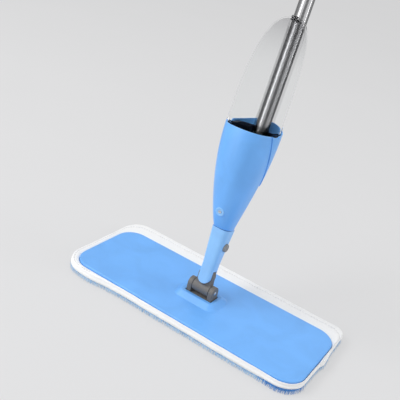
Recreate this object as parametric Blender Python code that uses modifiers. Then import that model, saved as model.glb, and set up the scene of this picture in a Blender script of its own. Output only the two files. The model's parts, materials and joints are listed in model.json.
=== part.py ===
"""Trigger spray mop with a flat microfibre head, in metres, +Z up.

The origin is the centre of the pad's underside, on the floor. +X runs along the head's long side and
-Y is the front, the side that the nozzle sprays. The handle leans back about the pitch pin, and every
size of the handle is given along its own axes: Z up the handle, -Y to the front, from the pitch pin.
"""
import math
from typing import NamedTuple

import bmesh
import bpy
import numpy as np
from mathutils import Matrix, Vector

MM = 0.001

# Fits between neighbouring pieces
SEAT_GAP = 0.3 * MM
BOTTLE_GAP = 1.0 * MM
CUT_PAST = 2.0 * MM

# Round pieces
ROUND_SIDES = 28
SMALL_SIDES = 14
SHELL_SIDES = 40

# Pad
PAD_LENGTH = 376 * MM
PAD_WIDTH = 162 * MM
PAD_CORNER = 27 * MM
PAD_SHIFT_X = -4.5 * MM
PAD_SHIFT_Y = 13 * MM
PILE_HEIGHT = 4.5 * MM
PILE_OVERHANG = 1.5 * MM
PILE_ROUND = 1.8 * MM
BACKING_THICK = 5.5 * MM
BACKING_ROUND = 2.2 * MM
BORDER_HEIGHT = 6.2 * MM
BORDER_FIT = 0.6 * MM

# Hook strips and plate
STRIP_LENGTH = 326 * MM
STRIP_WIDTH = 30 * MM
STRIP_THICK = 1.2 * MM
STRIP_CORNER = 5 * MM
STRIP_SPACING = 74 * MM
SOLE_THICK = 3.2 * MM
PLATE_LENGTH = 360 * MM
PLATE_WIDTH = 130 * MM
PLATE_CORNER = 27 * MM
PLATE_SKIN = 2.4 * MM
PLATE_SKIRT = 3.0 * MM
PLATE_ROUND = 1.6 * MM
BOSS_FOOT_MARGIN = 13 * MM
BOSS_TOP_MARGIN = 4.5 * MM
BOSS_HEIGHT = 6.0 * MM

# Universal joint
PIVOT_RISE = 15.5 * MM
EAR_RADIUS = 8.5 * MM
EAR_THICK = 7.0 * MM
BRACKET_BASE_THICK = 4.2 * MM
BRACKET_BASE_MARGIN = 0.8 * MM
BARREL_LENGTH = 26 * MM
PIN_RADIUS = 3.0 * MM
ROLL_RISE = 18.5 * MM
TONGUE_THICK = 9.2 * MM
TONGUE_RADIUS = 11.5 * MM
TONGUE_FOOT_HALF = 12.4 * MM
CROTCH_CLEARANCE = 2.0 * MM
BRACKET_SCREW_SPREAD_X = 34.8 * MM
BRACKET_SCREW_SPREAD_Y = 9.6 * MM
BRACKET_SCREW_REACH = 7.0 * MM

# Handle
LEAN = math.radians(14)
POLE_OFFSET = 10 * MM
POLE_RADIUS = 9.5 * MM
POLE_WALL = 1.0 * MM

# Neck
LUG_HALF = 9.8 * MM
NECK_STRAIGHT_TOP = 37 * MM
SEAM_HEIGHT = 89 * MM
NECK_SEAM_HALF_X = 12.9 * MM
NECK_SEAM_HALF_Y = 13.1 * MM
NECK_WALL = 2.2 * MM
NECK_SQUARENESS = 4.0
SOCKET_FLOOR = 46 * MM
PIN_COVER = 3.0 * MM

# Neck release button
BUTTON_HEIGHT = 64.5 * MM
BUTTON_RADIUS = 5.8 * MM
BUTTON_FLANGE = 2.0 * MM
BUTTON_FLANGE_HALF = 4.2 * MM
BUTTON_PROUD = 3.0 * MM
BUTTON_LENGTH = 10.0 * MM
BUTTON_FLANGE_THICK = 1.5 * MM
LEAF_THICK = 0.5 * MM
LEAF_WIDTH = 6 * MM
LEAF_LENGTH = 18 * MM

# Tank housing: egg sections from the seam up to the rim
RIM_HEIGHT = 227 * MM
RIM_TILT = math.radians(3)
RIM_CENTRE_Y = -14 * MM
HOUSING_WALL = 2.5 * MM
HOUSING_SEAM_HALF = 13.0 * MM
HOUSING_RIM_HALF = 33.8 * MM
HOUSING_SEAM_FRONT = -13.2 * MM
HOUSING_RIM_FRONT = -52.3 * MM
HOUSING_SEAM_BACK = 13.5 * MM
HOUSING_RIM_BACK = 24.5 * MM
HOUSING_WIDEST_Y = -15.4 * MM
HOUSING_SWELL = 1.02
HOUSING_FRONT_SWELL = 0.74
SPIGOT_LENGTH = 38 * MM
SPIGOT_WALL = 1.8 * MM

# Rear cover, split off along a slanting side line
COVER_PROUD = 1.2 * MM
COVER_TOP_Y = -27 * MM
COVER_LOW_Y = 4 * MM
COVER_LOW_Z = 163 * MM
COVER_POINT_Y = 9 * MM
COVER_POINT_Z = 157 * MM
CROWN_TOP = 239 * MM
CROWN_FOOT = 228 * MM
CROWN_FOOT_HALF = 36 * MM
LIP_FOOT_Y = -14 * MM
LIP_GAP = 0.5 * MM
COVER_SCREW_X = 18.5 * MM
COVER_SCREW_Z = 164 * MM
COVER_BOSS_HALF = 4.0 * MM
COVER_BOSS_DEPTH = 9.0 * MM

# Nozzle
NOZZLE_HEIGHT = 114 * MM
NOZZLE_TILT = math.radians(20)
NOZZLE_RADIUS = 6.3 * MM
NOZZLE_FLANGE = 2.3 * MM
NOZZLE_PROUD = 0.7 * MM
NOZZLE_BODY_RADIUS = 4.2 * MM
NOZZLE_BODY_LENGTH = 12 * MM
NOZZLE_BORE = 2.6 * MM
NOZZLE_BORE_DEPTH = 7.0 * MM
NOZZLE_BOSS_WALL = 2.4 * MM
INSERT_LENGTH = 3.0 * MM
ORIFICE_RADIUS = 0.6 * MM

# Pump and hoses
SEAT_TOP = 146 * MM
SEAT_THICK = 4.0 * MM
PUMP_RADIUS = 5.5 * MM
PUMP_BORE = 4.2 * MM
PUMP_LOW = 132 * MM
PUMP_FLOOR = 2.3 * MM
PUMP_TOP = 170 * MM
PUMP_FLANGE_RADIUS = 7.6 * MM
PUMP_FLANGE_THICK = 3.0 * MM
PISTON_LENGTH = 9.0 * MM
HEAD_FLANGE_THICK = 3.0 * MM
HEAD_SPIGOT = 12 * MM
SPRING_WIRE = 0.45 * MM
SPRING_TURNS = 7
SPRING_POINTS = 9
BARB_RADIUS = 1.2 * MM
BARB_BORE = 0.7 * MM
BARB_LENGTH = 6.5 * MM
INLET_BARB_LENGTH = 5.0 * MM
HOSE_BORE = 1.5 * MM
HOSE_WALL = 0.8 * MM
INLET_HEIGHT = 137 * MM
VALVE_LENGTH = 2.2 * MM
HOSE_BEND_PULL = 0.45

# Bottle
BOTTLE_TOP = 369.3 * MM
BOTTLE_LOW = 170 * MM
BOTTLE_WALL = 1.6 * MM
BOTTLE_FLUSH = 0.6 * MM
BOTTLE_BULGE = 4 * MM
BOTTLE_BULGE_SKEW = 0.7
SHOULDER_LIFT = 0.9 * MM
SHOULDER_RISE = 2.5 * MM
SHOULDER_FADE = 40 * MM
BOTTLE_BACK = 20.6 * MM
BOTTLE_APEX_Y = 0.8 * MM
BOTTLE_DOME = 2.8
BOTTLE_BACK_DOME = 6.1
DOME_LAST_RING = 0.05
CHANNEL_GAP = 1.3 * MM
MOUTH_Y = -17 * MM
MOUTH_RADIUS = 13.5 * MM
MOUTH_BORE = 10.5 * MM
MOUTH_LOW = 155 * MM
CAP_RADIUS = 16 * MM
CAP_LOW = 149.5 * MM
CAP_TOP = 167 * MM
CAP_FLOOR = 3.0 * MM
CAP_HOLE = 3.8 * MM
POST_RADIUS = 3.2 * MM
SEAL_HALF_WIDTH = 2.4 * MM
SEAL_RADIUS = 11 * MM
VALVE_RADIUS = 5.5 * MM
VENT_Y = -7.5 * MM
SPOUT_PROUD = 0.4 * MM
VENT_RADIUS = 3.6 * MM
VENT_LENGTH = 5 * MM
VENT_PROUD = 0.8 * MM
SPOUT_RADIUS = 4.8 * MM
SPOUT_LENGTH = 14 * MM

# Pole tubes and their joiner
POLE_SPLIT = 560 * MM
POLE_TOP_DROP = 18 * MM
JOINER_LENGTH = 120 * MM
JOINER_WALL = 1.6 * MM
SNAP_RADIUS = 3.2 * MM
SNAP_FACE = 10.8 * MM
SNAP_INNER = 4.4 * MM
SNAP_FLANGE_THICK = 0.6 * MM
SNAP_FLANGE_RADIUS = 4.0 * MM
SNAP_LEAF_THICK = 0.4 * MM
SNAP_LEAF_WIDTH = 5 * MM
SNAP_LEAF_LENGTH = 22 * MM

# Push rod
ROD_RADIUS = 1.5 * MM
ROD_HEAD_RADIUS = 4.0 * MM
ROD_HEAD_THICK = 4.7 * MM

# Grip: rise above the trigger's pivot, then half width, front and back from the pole's axis
GRIP_STATIONS = (
    (-53 * MM, 13.5 * MM, 13.5 * MM, 13.5 * MM),
    (-41 * MM, 15.5 * MM, 15.5 * MM, 15.5 * MM),
    (-3 * MM, 16.0 * MM, 17.0 * MM, 16.5 * MM),
    (47 * MM, 16.0 * MM, 17.0 * MM, 17.0 * MM),
    (97 * MM, 16.5 * MM, 17.5 * MM, 18.0 * MM),
    (147 * MM, 16.0 * MM, 16.5 * MM, 17.0 * MM),
    (177 * MM, 14.5 * MM, 15.0 * MM, 15.0 * MM),
)
SPLIT_HALF_GAP = 0.15 * MM
KNUCKLE_HALF = 12.5 * MM
KNUCKLE_ROUND = 3.5 * MM
KNUCKLE_BACK = 8 * MM
KNUCKLE_FOOT = 36 * MM
KNUCKLE_TOP = 29 * MM
KNUCKLE_FACE = ((-4 * MM, -20 * MM), (-12 * MM, -4 * MM), (-10 * MM, 11 * MM))
POCKET_GAP = 0.4 * MM
POCKET_MOUTH = 7 * MM
POCKET_CHIN = 6 * MM
POCKET_BROW = 18 * MM
POCKET_FRONT = 40 * MM
POCKET_SLOT_RISE = 37 * MM
POCKET_ARM_RISE = 9 * MM
GRIP_CAVITY_RADIUS = 11.5 * MM
GRIP_CAVITY_RISES = ((37 * MM, 86 * MM), (104 * MM, 146 * MM))
GRIP_SCREW_RISES = (23 * MM, 95 * MM, 155 * MM)
GRIP_SCREW_SEAT = 9.0 * MM
GRIP_SCREW_REACH = 8.0 * MM

# Trigger, from its pivot
TRIGGER_THICK = 12.4 * MM
TRIGGER_ARM = 24 * MM
TRIGGER_HEIGHT = 1003 * MM
TRIGGER_TIP_RADIUS = 4.0 * MM
TRIGGER_PIN_RADIUS = 2.2 * MM
TRIGGER_PIN_LENGTH = 21 * MM
LEVER_INNER = ((4 * MM, 4.5 * MM), (-5 * MM, 9 * MM), (-11 * MM, 27 * MM), (-16 * MM, 57 * MM),
               (-18 * MM, 87 * MM), (-19.5 * MM, 98 * MM))
LEVER_OUTER = ((-24 * MM, 99 * MM), (-26.5 * MM, 96 * MM), (-26.5 * MM, 87 * MM), (-24 * MM, 57 * MM),
               (-19 * MM, 27 * MM), (-13 * MM, 3 * MM), (-6 * MM, -4.5 * MM), (0 * MM, -6.5 * MM),
               (6 * MM, -5 * MM))

# Hanging eye
CAP_SPIGOT_RADIUS = 9.0 * MM
CAP_SPIGOT_LENGTH = 9.0 * MM
EYE_HALF_THICK = 6.0 * MM
EYE_OUTER = 14 * MM
EYE_HOLE = 6.5 * MM
EYE_RISE = 20 * MM

# Screws
SCREW_HEAD_RADIUS = 3.4 * MM
SCREW_HEAD_THICK = 2.2 * MM
SCREW_SHANK = 1.6 * MM

# Levels of the head, from the floor up
BACKING_LOW = PILE_HEIGHT + SEAT_GAP
BACKING_TOP = BACKING_LOW + BACKING_THICK
STRIP_LOW = BACKING_TOP + SEAT_GAP
STRIP_TOP = STRIP_LOW + STRIP_THICK
SOLE_LOW = STRIP_TOP + SEAT_GAP
SOLE_TOP = SOLE_LOW + SOLE_THICK
SKIN_LOW = SOLE_TOP + SEAT_GAP
PLATE_TOP = SKIN_LOW + PLATE_SKIN
BRACKET_LOW = PLATE_TOP + SEAT_GAP
PIVOT_HEIGHT = PLATE_TOP + PIVOT_RISE

# Places that follow from the sizes above
EAR_INNER = BARREL_LENGTH / 2 + SEAT_GAP
EAR_OUTER = EAR_INNER + EAR_THICK
LUG_INNER = TONGUE_THICK / 2 + SEAT_GAP
PIN_HOLE = PIN_RADIUS + SEAT_GAP
HOUSING_LOW = SEAM_HEIGHT + SEAT_GAP
POLE_LOW = PUMP_TOP + SEAT_GAP + HEAD_FLANGE_THICK + SEAT_GAP
HOSE_RADIUS = HOSE_BORE + HOSE_WALL
TRIGGER_Y = POLE_OFFSET - TRIGGER_ARM
ROD_TOP = TRIGGER_HEIGHT - TRIGGER_TIP_RADIUS - SEAT_GAP
PISTON_TOP = PUMP_TOP
VENT_TOP = BOTTLE_TOP + SPOUT_PROUD
SNAP_HEIGHT = POLE_SPLIT + JOINER_LENGTH / 4
POLE_TOP = TRIGGER_HEIGHT - POLE_TOP_DROP
GRIP_LOW = TRIGGER_HEIGHT + GRIP_STATIONS[0][0]
GRIP_TOP = TRIGGER_HEIGHT + GRIP_STATIONS[-1][0]
SCREW_HOLE = SCREW_SHANK + SEAT_GAP

for leftover in list(bpy.data.objects):
    bpy.data.objects.remove(leftover, do_unlink=True)

PARTS = bpy.data.collections.new("spray_mop")
CUTTERS = bpy.data.collections.new("spray_mop_cutters")
for collection in (PARTS, CUTTERS):
    bpy.context.scene.collection.children.link(collection)


class Frame(NamedTuple):
    """An empty that carries pieces, and where it stands in the coordinates that those pieces use."""

    empty: bpy.types.Object
    origin: Vector


def add_frame(name, origin, parent=None, turn_x=0.0):
    """Adds the empty of a joint at origin, given in the parent frame's coordinates."""
    empty = bpy.data.objects.new(name, None)
    empty.empty_display_size = 0.02
    PARTS.objects.link(empty)
    empty.location = origin
    empty.rotation_euler.x = turn_x
    if parent is not None:
        empty.parent = parent.empty
        empty.location = Vector(origin) - parent.origin
    return Frame(empty, Vector(origin))


HEAD = add_frame("pitch_axis", (0, 0, PIVOT_HEIGHT))
HANDLE_EMPTY = add_frame("handle_frame", (0, 0, PIVOT_HEIGHT), turn_x=-LEAN).empty
HANDLE = Frame(HANDLE_EMPTY, Vector((0, 0, 0)))
YOKE = add_frame("roll_axis", (0, 0, ROLL_RISE), HANDLE)
NECK_BUTTON = add_frame("neck_button_axis", (0, 0, BUTTON_HEIGHT), HANDLE)
BOTTLE = add_frame("bottle_axis", (0, MOUTH_Y, MOUTH_LOW), HANDLE)
PLUNGER = add_frame("rod_axis", (0, POLE_OFFSET, PUMP_TOP), HANDLE)
SNAP = add_frame("snap_button_axis", (0, POLE_OFFSET, SNAP_HEIGHT), HANDLE)
TRIGGER = add_frame("trigger_axis", (0, TRIGGER_Y, TRIGGER_HEIGHT), HANDLE)


def make_material(name, colour, roughness, metallic=0.0, transmission=0.0):
    """Principled material in a plain colour."""
    material = bpy.data.materials.new(name)
    material.use_nodes = True
    shader = material.node_tree.nodes["Principled BSDF"]
    shader.inputs["Base Color"].default_value = (*colour, 1.0)
    shader.inputs["Roughness"].default_value = roughness
    shader.inputs["Metallic"].default_value = metallic
    shader.inputs["Transmission Weight"].default_value = transmission
    material.diffuse_color = (*colour, 1.0)
    return material


BLUE_PLASTIC = make_material("blue_plastic", (0.17, 0.44, 0.95), 0.38)
PALE_BLUE_PLASTIC = make_material("pale_blue_plastic", (0.30, 0.58, 0.97), 0.4)
GREY_PLASTIC = make_material("grey_plastic", (0.16, 0.15, 0.145), 0.5)
NAVY_PLASTIC = make_material("navy_plastic", (0.012, 0.02, 0.045), 0.45)
WHITE_FABRIC = make_material("white_fabric", (0.9, 0.9, 0.9), 0.95)
BLUE_PILE = make_material("blue_pile", (0.03, 0.24, 0.8), 0.98)
BLACK_HOOK = make_material("black_hook_tape", (0.02, 0.02, 0.02), 0.9)
CLEAR_PLASTIC = make_material("clear_plastic", (0.95, 0.97, 0.98), 0.05, 0.0, 1.0)
STEEL = make_material("brushed_steel", (0.55, 0.55, 0.56), 0.28, 1.0)
SPRING_STEEL = make_material("spring_steel", (0.5, 0.5, 0.5), 0.3, 1.0)
RUBBER = make_material("dark_rubber", (0.03, 0.03, 0.03), 0.8)
HOSE_VINYL = make_material("clear_hose", (0.8, 0.82, 0.82), 0.3)


def object_from(bm, name):
    """Turns a bmesh into an unlinked object with its faces pointing out."""
    bmesh.ops.recalc_face_normals(bm, faces=bm.faces)
    mesh = bpy.data.meshes.new(name)
    bm.to_mesh(mesh)
    bm.free()
    return bpy.data.objects.new(name, mesh)


def place(obj, frame):
    """Parents an object whose mesh is in the frame's own coordinates."""
    obj.parent = frame.empty
    obj.location = -frame.origin


def part(obj, frame, material):
    """Adds a finished piece to the model."""
    PARTS.objects.link(obj)
    place(obj, frame)
    obj.data.materials.append(material)
    obj.data.shade_smooth()
    obj.data.set_sharp_from_angle(angle=math.radians(35))
    return obj


def combine(obj, other, operation, frame):
    """Cuts, joins or trims a piece with another shape."""
    if other.name not in CUTTERS.objects:
        CUTTERS.objects.link(other)
        place(other, frame)
        other.hide_render = True
        other.display_type = "WIRE"
    modifier = obj.modifiers.new(other.name, "BOOLEAN")
    modifier.operation = operation
    modifier.object = other
    modifier.solver = "EXACT"


def cut(obj, other, frame):
    """Takes another shape away from a piece."""
    combine(obj, other, "DIFFERENCE", frame)


def join(obj, other, frame):
    """Joins another shape to a piece."""
    combine(obj, other, "UNION", frame)


def trim(obj, other, frame):
    """Keeps only what lies inside another shape."""
    combine(obj, other, "INTERSECT", frame)


def cylinder(name, start, end, radius, sides=ROUND_SIDES):
    """Round bar between two points."""
    axis = Vector(end) - Vector(start)
    turn = axis.to_track_quat("Z", "Y").to_matrix().to_4x4()
    middle = Matrix.Translation((Vector(start) + Vector(end)) / 2)
    bm = bmesh.new()
    bmesh.ops.create_cone(bm, cap_ends=True, segments=sides, radius1=radius, radius2=radius,
                          depth=axis.length, matrix=middle @ turn)
    return object_from(bm, name)


def box(name, low, high):
    """Block between two corners."""
    low, high = Vector(low), Vector(high)
    bm = bmesh.new()
    bmesh.ops.create_cube(bm, size=1.0)
    bmesh.ops.scale(bm, vec=high - low, verts=bm.verts)
    bmesh.ops.translate(bm, vec=(low + high) / 2, verts=bm.verts)
    return object_from(bm, name)


def prism(name, outline, axis, low, high):
    """Flat outline carried along one axis: (y, z) along X, (x, z) along Y or (x, y) along Z."""
    lay = {
        "X": lambda a, b: (low, a, b),
        "Y": lambda a, b: (a, low, b),
        "Z": lambda a, b: (a, b, low),
    }[axis]
    way = Vector((axis == "X", axis == "Y", axis == "Z")) * (high - low)
    bm = bmesh.new()
    face = bm.faces.new([bm.verts.new(lay(a, b)) for a, b in outline])
    grown = bmesh.ops.extrude_face_region(bm, geom=[face])
    moved = [item for item in grown["geom"] if isinstance(item, bmesh.types.BMVert)]
    bmesh.ops.translate(bm, vec=way, verts=moved)
    return object_from(bm, name)


def turned(name, profile, foot, way=(0, 0, 1), sides=ROUND_SIDES):
    """Profile of (radius, height) turned about an axis that starts at foot and runs along way."""
    turn = Vector(way).to_track_quat("Z", "Y").to_matrix().to_4x4()
    bm = bmesh.new()
    verts = [bm.verts.new((radius, 0, height)) for radius, height in profile]
    edges = [bm.edges.new(pair) for pair in zip(verts, verts[1:] + verts[:1])]
    bmesh.ops.spin(bm, geom=verts + edges, cent=(0, 0, 0), axis=(0, 0, 1),
                   angle=math.tau, steps=sides, use_merge=True)
    bmesh.ops.remove_doubles(bm, verts=bm.verts, dist=1e-7)
    bmesh.ops.dissolve_degenerate(bm, edges=bm.edges, dist=1e-7)
    bmesh.ops.transform(bm, matrix=Matrix.Translation(foot) @ turn, verts=bm.verts)
    return object_from(bm, name)


def tube(name, outer, inner, low, high, axis_y, sides=ROUND_SIDES):
    """Round tube up the handle."""
    profile = ((outer, high), (outer, low), (inner, low), (inner, high))
    return turned(name, profile, (0, axis_y, 0), sides=sides)


def loft(name, rings):
    """Skin over rings of equal point count, from the lowest up, closed at both ends."""
    count = len(rings[0])
    bm = bmesh.new()
    rows = [[bm.verts.new(point) for point in ring] for ring in rings]
    for lower, upper in zip(rows, rows[1:]):
        for i in range(count):
            j = (i + 1) % count
            bm.faces.new((lower[i], lower[j], upper[j], upper[i]))
    bm.faces.new(rows[0][::-1])
    bm.faces.new(rows[-1])
    return object_from(bm, name)


def rounded_rectangle(length, width, radius, steps=8):
    """Outline points of a rectangle with round corners, counter-clockwise."""
    points = []
    for corner in range(4):
        sign_x = 1 if corner in (0, 3) else -1
        sign_y = 1 if corner in (0, 1) else -1
        for step in range(steps + 1):
            angle = math.pi / 2 * (corner + step / steps)
            points.append((sign_x * (length / 2 - radius) + radius * math.cos(angle),
                           sign_y * (width / 2 - radius) + radius * math.sin(angle)))
    return points


def arc(centre_a, centre_b, radius, start, end, steps=14):
    """Points of a circular arc between two angles in degrees."""
    angles = np.radians(np.linspace(start, end, steps + 1))
    return [(centre_a + radius * math.cos(t), centre_b + radius * math.sin(t)) for t in angles]


def egg_ring(half, front, back, widest, height, power=2.3, sides=SHELL_SIDES, tilt=0.0, tilt_y=0.0):
    """Egg-shaped ring: a superellipse whose front and back halves reach unlike distances."""
    angles = np.linspace(0, math.tau, sides, endpoint=False)
    cosine, sine = np.cos(angles), np.sin(angles)
    x = half * np.sign(cosine) * np.abs(cosine) ** (2 / power)
    reach = np.where(sine > 0, back - widest, widest - front)
    y = widest + reach * np.sign(sine) * np.abs(sine) ** (2 / power)
    z = height + math.tan(tilt) * (y - tilt_y)
    return [tuple(point) for point in np.stack([x, y, z], axis=1)]


def strip(points, thick):
    """Outline of a thin bent strip along a route, half its thickness to each side."""
    route = np.array(points, dtype=float)
    along = np.gradient(route, axis=0)
    along /= np.linalg.norm(along, axis=1)[:, None]
    side = np.stack([-along[:, 1], along[:, 0]], axis=1) * thick / 2
    return [tuple(p) for p in np.concatenate([route + side, (route - side)[::-1]])]


def round_edges(obj, width, segments):
    """Rounds the sharp edges of a piece."""
    modifier = obj.modifiers.new("round_edges", "BEVEL")
    modifier.width = width
    modifier.segments = segments
    modifier.limit_method = "ANGLE"
    modifier.angle_limit = math.radians(40)


def screw(name, seat, way, reach, frame):
    """Pan-head screw: its head lies on seat and its shank runs along way."""
    profile = ((0, reach), (SCREW_SHANK, reach), (SCREW_SHANK, 0), (SCREW_HEAD_RADIUS, 0),
               (SCREW_HEAD_RADIUS, -SCREW_HEAD_THICK), (0, -SCREW_HEAD_THICK))
    return part(turned(name, profile, seat, way, sides=SMALL_SIDES), frame, STEEL)


def pad_outline(grow):
    """Outline of the pad, which lies further back than the plate, grown by a margin."""
    outline = rounded_rectangle(PAD_LENGTH + 2 * grow, PAD_WIDTH + 2 * grow, PAD_CORNER + grow)
    return [(x + PAD_SHIFT_X, y + PAD_SHIFT_Y) for x, y in outline]


def make_pad():
    """White backing with a raised border round the plate, over a blue pile, held by two hook strips."""
    pile = prism("pad_pile", pad_outline(PILE_OVERHANG), "Z", 0, PILE_HEIGHT)
    round_edges(pile, PILE_ROUND, 3)
    part(pile, HEAD, BLUE_PILE)
    border_top = BACKING_TOP + BORDER_HEIGHT
    backing = prism("pad_backing", pad_outline(0), "Z", BACKING_LOW, border_top)
    round_edges(backing, BACKING_ROUND, 3)
    seat = rounded_rectangle(PLATE_LENGTH + 2 * BORDER_FIT, PLATE_WIDTH + 2 * BORDER_FIT,
                             PLATE_CORNER + BORDER_FIT)
    cut(backing, prism("backing_seat", seat, "Z", BACKING_TOP, border_top + CUT_PAST), HEAD)
    part(backing, HEAD, WHITE_FABRIC)
    outline = rounded_rectangle(STRIP_LENGTH, STRIP_WIDTH, STRIP_CORNER, steps=3)
    for name, side in (("hook_strip_front", -1), ("hook_strip_rear", 1)):
        shifted = [(x, y + side * STRIP_SPACING / 2) for x, y in outline]
        part(prism(name, shifted, "Z", STRIP_LOW, STRIP_TOP), HEAD, BLACK_HOOK)


def bracket_screw_places():
    """Places of the four screws that hold the bracket."""
    half_x, half_y = BRACKET_SCREW_SPREAD_X / 2, BRACKET_SCREW_SPREAD_Y / 2
    return [(x, y) for x in (-half_x, half_x) for y in (-half_y, half_y)]


def make_plate():
    """Moulded plate with a skirt, a raised boss round the bracket, and a sole that fills the skirt."""
    half_x = EAR_OUTER + BRACKET_BASE_MARGIN
    half_y = EAR_RADIUS + BRACKET_BASE_MARGIN
    plate = prism("base_plate", rounded_rectangle(PLATE_LENGTH, PLATE_WIDTH, PLATE_CORNER), "Z",
                  STRIP_LOW, PLATE_TOP)
    round_edges(plate, PLATE_ROUND, 2)
    rings = []
    for margin, height in ((BOSS_FOOT_MARGIN, PLATE_TOP - PLATE_SKIN / 2),
                           (BOSS_TOP_MARGIN, PLATE_TOP + BOSS_HEIGHT)):
        outline = rounded_rectangle(2 * (half_x + margin), 2 * (half_y + margin), margin, steps=5)
        rings.append([(x, y, height) for x, y in outline])
    join(plate, loft("plate_boss", rings), HEAD)
    inside = rounded_rectangle(PLATE_LENGTH - 2 * PLATE_SKIRT, PLATE_WIDTH - 2 * PLATE_SKIRT,
                               PLATE_CORNER - PLATE_SKIRT)
    cut(plate, prism("plate_recess", inside, "Z", STRIP_LOW - CUT_PAST, SKIN_LOW), HEAD)
    pocket_x, pocket_y = half_x + SEAT_GAP, half_y + SEAT_GAP
    cut(plate, box("boss_pocket", (-pocket_x, -pocket_y, PLATE_TOP),
                   (pocket_x, pocket_y, PLATE_TOP + BOSS_HEIGHT + CUT_PAST)), HEAD)
    sole_inset = PLATE_SKIRT + SEAT_GAP
    sole = prism("plate_sole",
                 rounded_rectangle(PLATE_LENGTH - 2 * sole_inset, PLATE_WIDTH - 2 * sole_inset,
                                                 PLATE_CORNER - sole_inset), "Z", SOLE_LOW, SOLE_TOP)
    for number, (x, y) in enumerate(bracket_screw_places(), 1):
        cut(plate,
            cylinder(f"skin_hole_{number}", (x, y, SKIN_LOW - CUT_PAST), (x, y, PLATE_TOP + CUT_PAST),
                            SCREW_HOLE, SMALL_SIDES), HEAD)
        cut(sole,
            cylinder(f"sole_hole_{number}", (x, y, SOLE_LOW - CUT_PAST), (x, y, SOLE_TOP + CUT_PAST),
                           SCREW_HEAD_RADIUS + SEAT_GAP, SMALL_SIDES), HEAD)
    part(plate, HEAD, BLUE_PLASTIC)
    part(sole, HEAD, BLUE_PLASTIC)


def make_bracket():
    """Two-eared bracket in the boss, its pin and its four screws."""
    half_x, half_y = EAR_OUTER + BRACKET_BASE_MARGIN, EAR_RADIUS + BRACKET_BASE_MARGIN
    base_top = BRACKET_LOW + BRACKET_BASE_THICK
    bracket = box("pivot_bracket", (-half_x, -half_y, BRACKET_LOW), (half_x, half_y, base_top))
    root = base_top - BRACKET_BASE_THICK / 2
    outline = arc(0, PIVOT_HEIGHT, EAR_RADIUS, 0, 180) + [(-EAR_RADIUS, root), (EAR_RADIUS, root)]
    for name, low, high in (("ear_left", -EAR_OUTER, -EAR_INNER), ("ear_right", EAR_INNER, EAR_OUTER)):
        join(bracket, prism(name, outline, "X", low, high), HEAD)
    reach_x = half_x + CUT_PAST
    cut(bracket,
        cylinder("bracket_pin_hole", (-reach_x, 0, PIVOT_HEIGHT), (reach_x, 0, PIVOT_HEIGHT), PIN_HOLE),
        HEAD)
    seat = SKIN_LOW - SEAT_GAP
    reach = BRACKET_LOW - seat + BRACKET_SCREW_REACH
    for number, (x, y) in enumerate(bracket_screw_places(), 1):
        cut(bracket, cylinder(f"bracket_screw_hole_{number}", (x, y, BRACKET_LOW - CUT_PAST),
                              (x, y, seat + reach + SEAT_GAP), SCREW_HOLE, SMALL_SIDES), HEAD)
        screw(f"bracket_screw_{number}", (x, y, seat), (0, 0, 1), reach, HEAD)
    part(bracket, HEAD, GREY_PLASTIC)
    part(cylinder("pitch_pin", (-EAR_OUTER, 0, PIVOT_HEIGHT), (EAR_OUTER, 0, PIVOT_HEIGHT), PIN_RADIUS),
         HEAD, STEEL)


def make_yoke():
    """Cross piece of the universal joint: a barrel on the pitch pin and a tongue on the roll pin."""
    half = BARREL_LENGTH / 2
    yoke = cylinder("joint_yoke", (-half, 0, 0), (half, 0, 0), EAR_RADIUS)
    top = arc(0, ROLL_RISE, TONGUE_RADIUS, -15, 195, steps=18)
    outline = top + [(-TONGUE_FOOT_HALF, EAR_RADIUS / 2), (-TONGUE_FOOT_HALF, 0),
                     (TONGUE_FOOT_HALF, 0), (TONGUE_FOOT_HALF, EAR_RADIUS / 2)]
    join(yoke, prism("yoke_tongue", outline, "Y", -TONGUE_THICK / 2, TONGUE_THICK / 2), YOKE)
    cut(yoke, cylinder("yoke_pitch_hole", (-half - CUT_PAST, 0, 0), (half + CUT_PAST, 0, 0), PIN_HOLE),
        YOKE)
    cut(yoke, cylinder("yoke_roll_hole", (0, -TONGUE_THICK, ROLL_RISE), (0, TONGUE_THICK, ROLL_RISE),
                       PIN_HOLE), YOKE)
    part(yoke, YOKE, GREY_PLASTIC)
    start = PIN_COVER - LUG_HALF + SEAT_GAP
    part(cylinder("roll_pin", (0, start, ROLL_RISE), (0, LUG_HALF - SEAT_GAP, ROLL_RISE), PIN_RADIUS),
         HANDLE, STEEL)


def neck_halves(height):
    """Half width and half depth of the neck at a height."""
    share = max(0.0, (height - NECK_STRAIGHT_TOP) / (SEAM_HEIGHT - NECK_STRAIGHT_TOP))
    return (LUG_HALF + share * (NECK_SEAM_HALF_X - LUG_HALF),
            LUG_HALF + share * (NECK_SEAM_HALF_Y - LUG_HALF))


def neck_ring(height, inset):
    """Ring of the neck's section, moved in by inset."""
    half_x, half_y = neck_halves(height)
    return egg_ring(half_x - inset, inset - half_y, half_y - inset, 0, height, NECK_SQUARENESS,
                    ROUND_SIDES)


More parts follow.
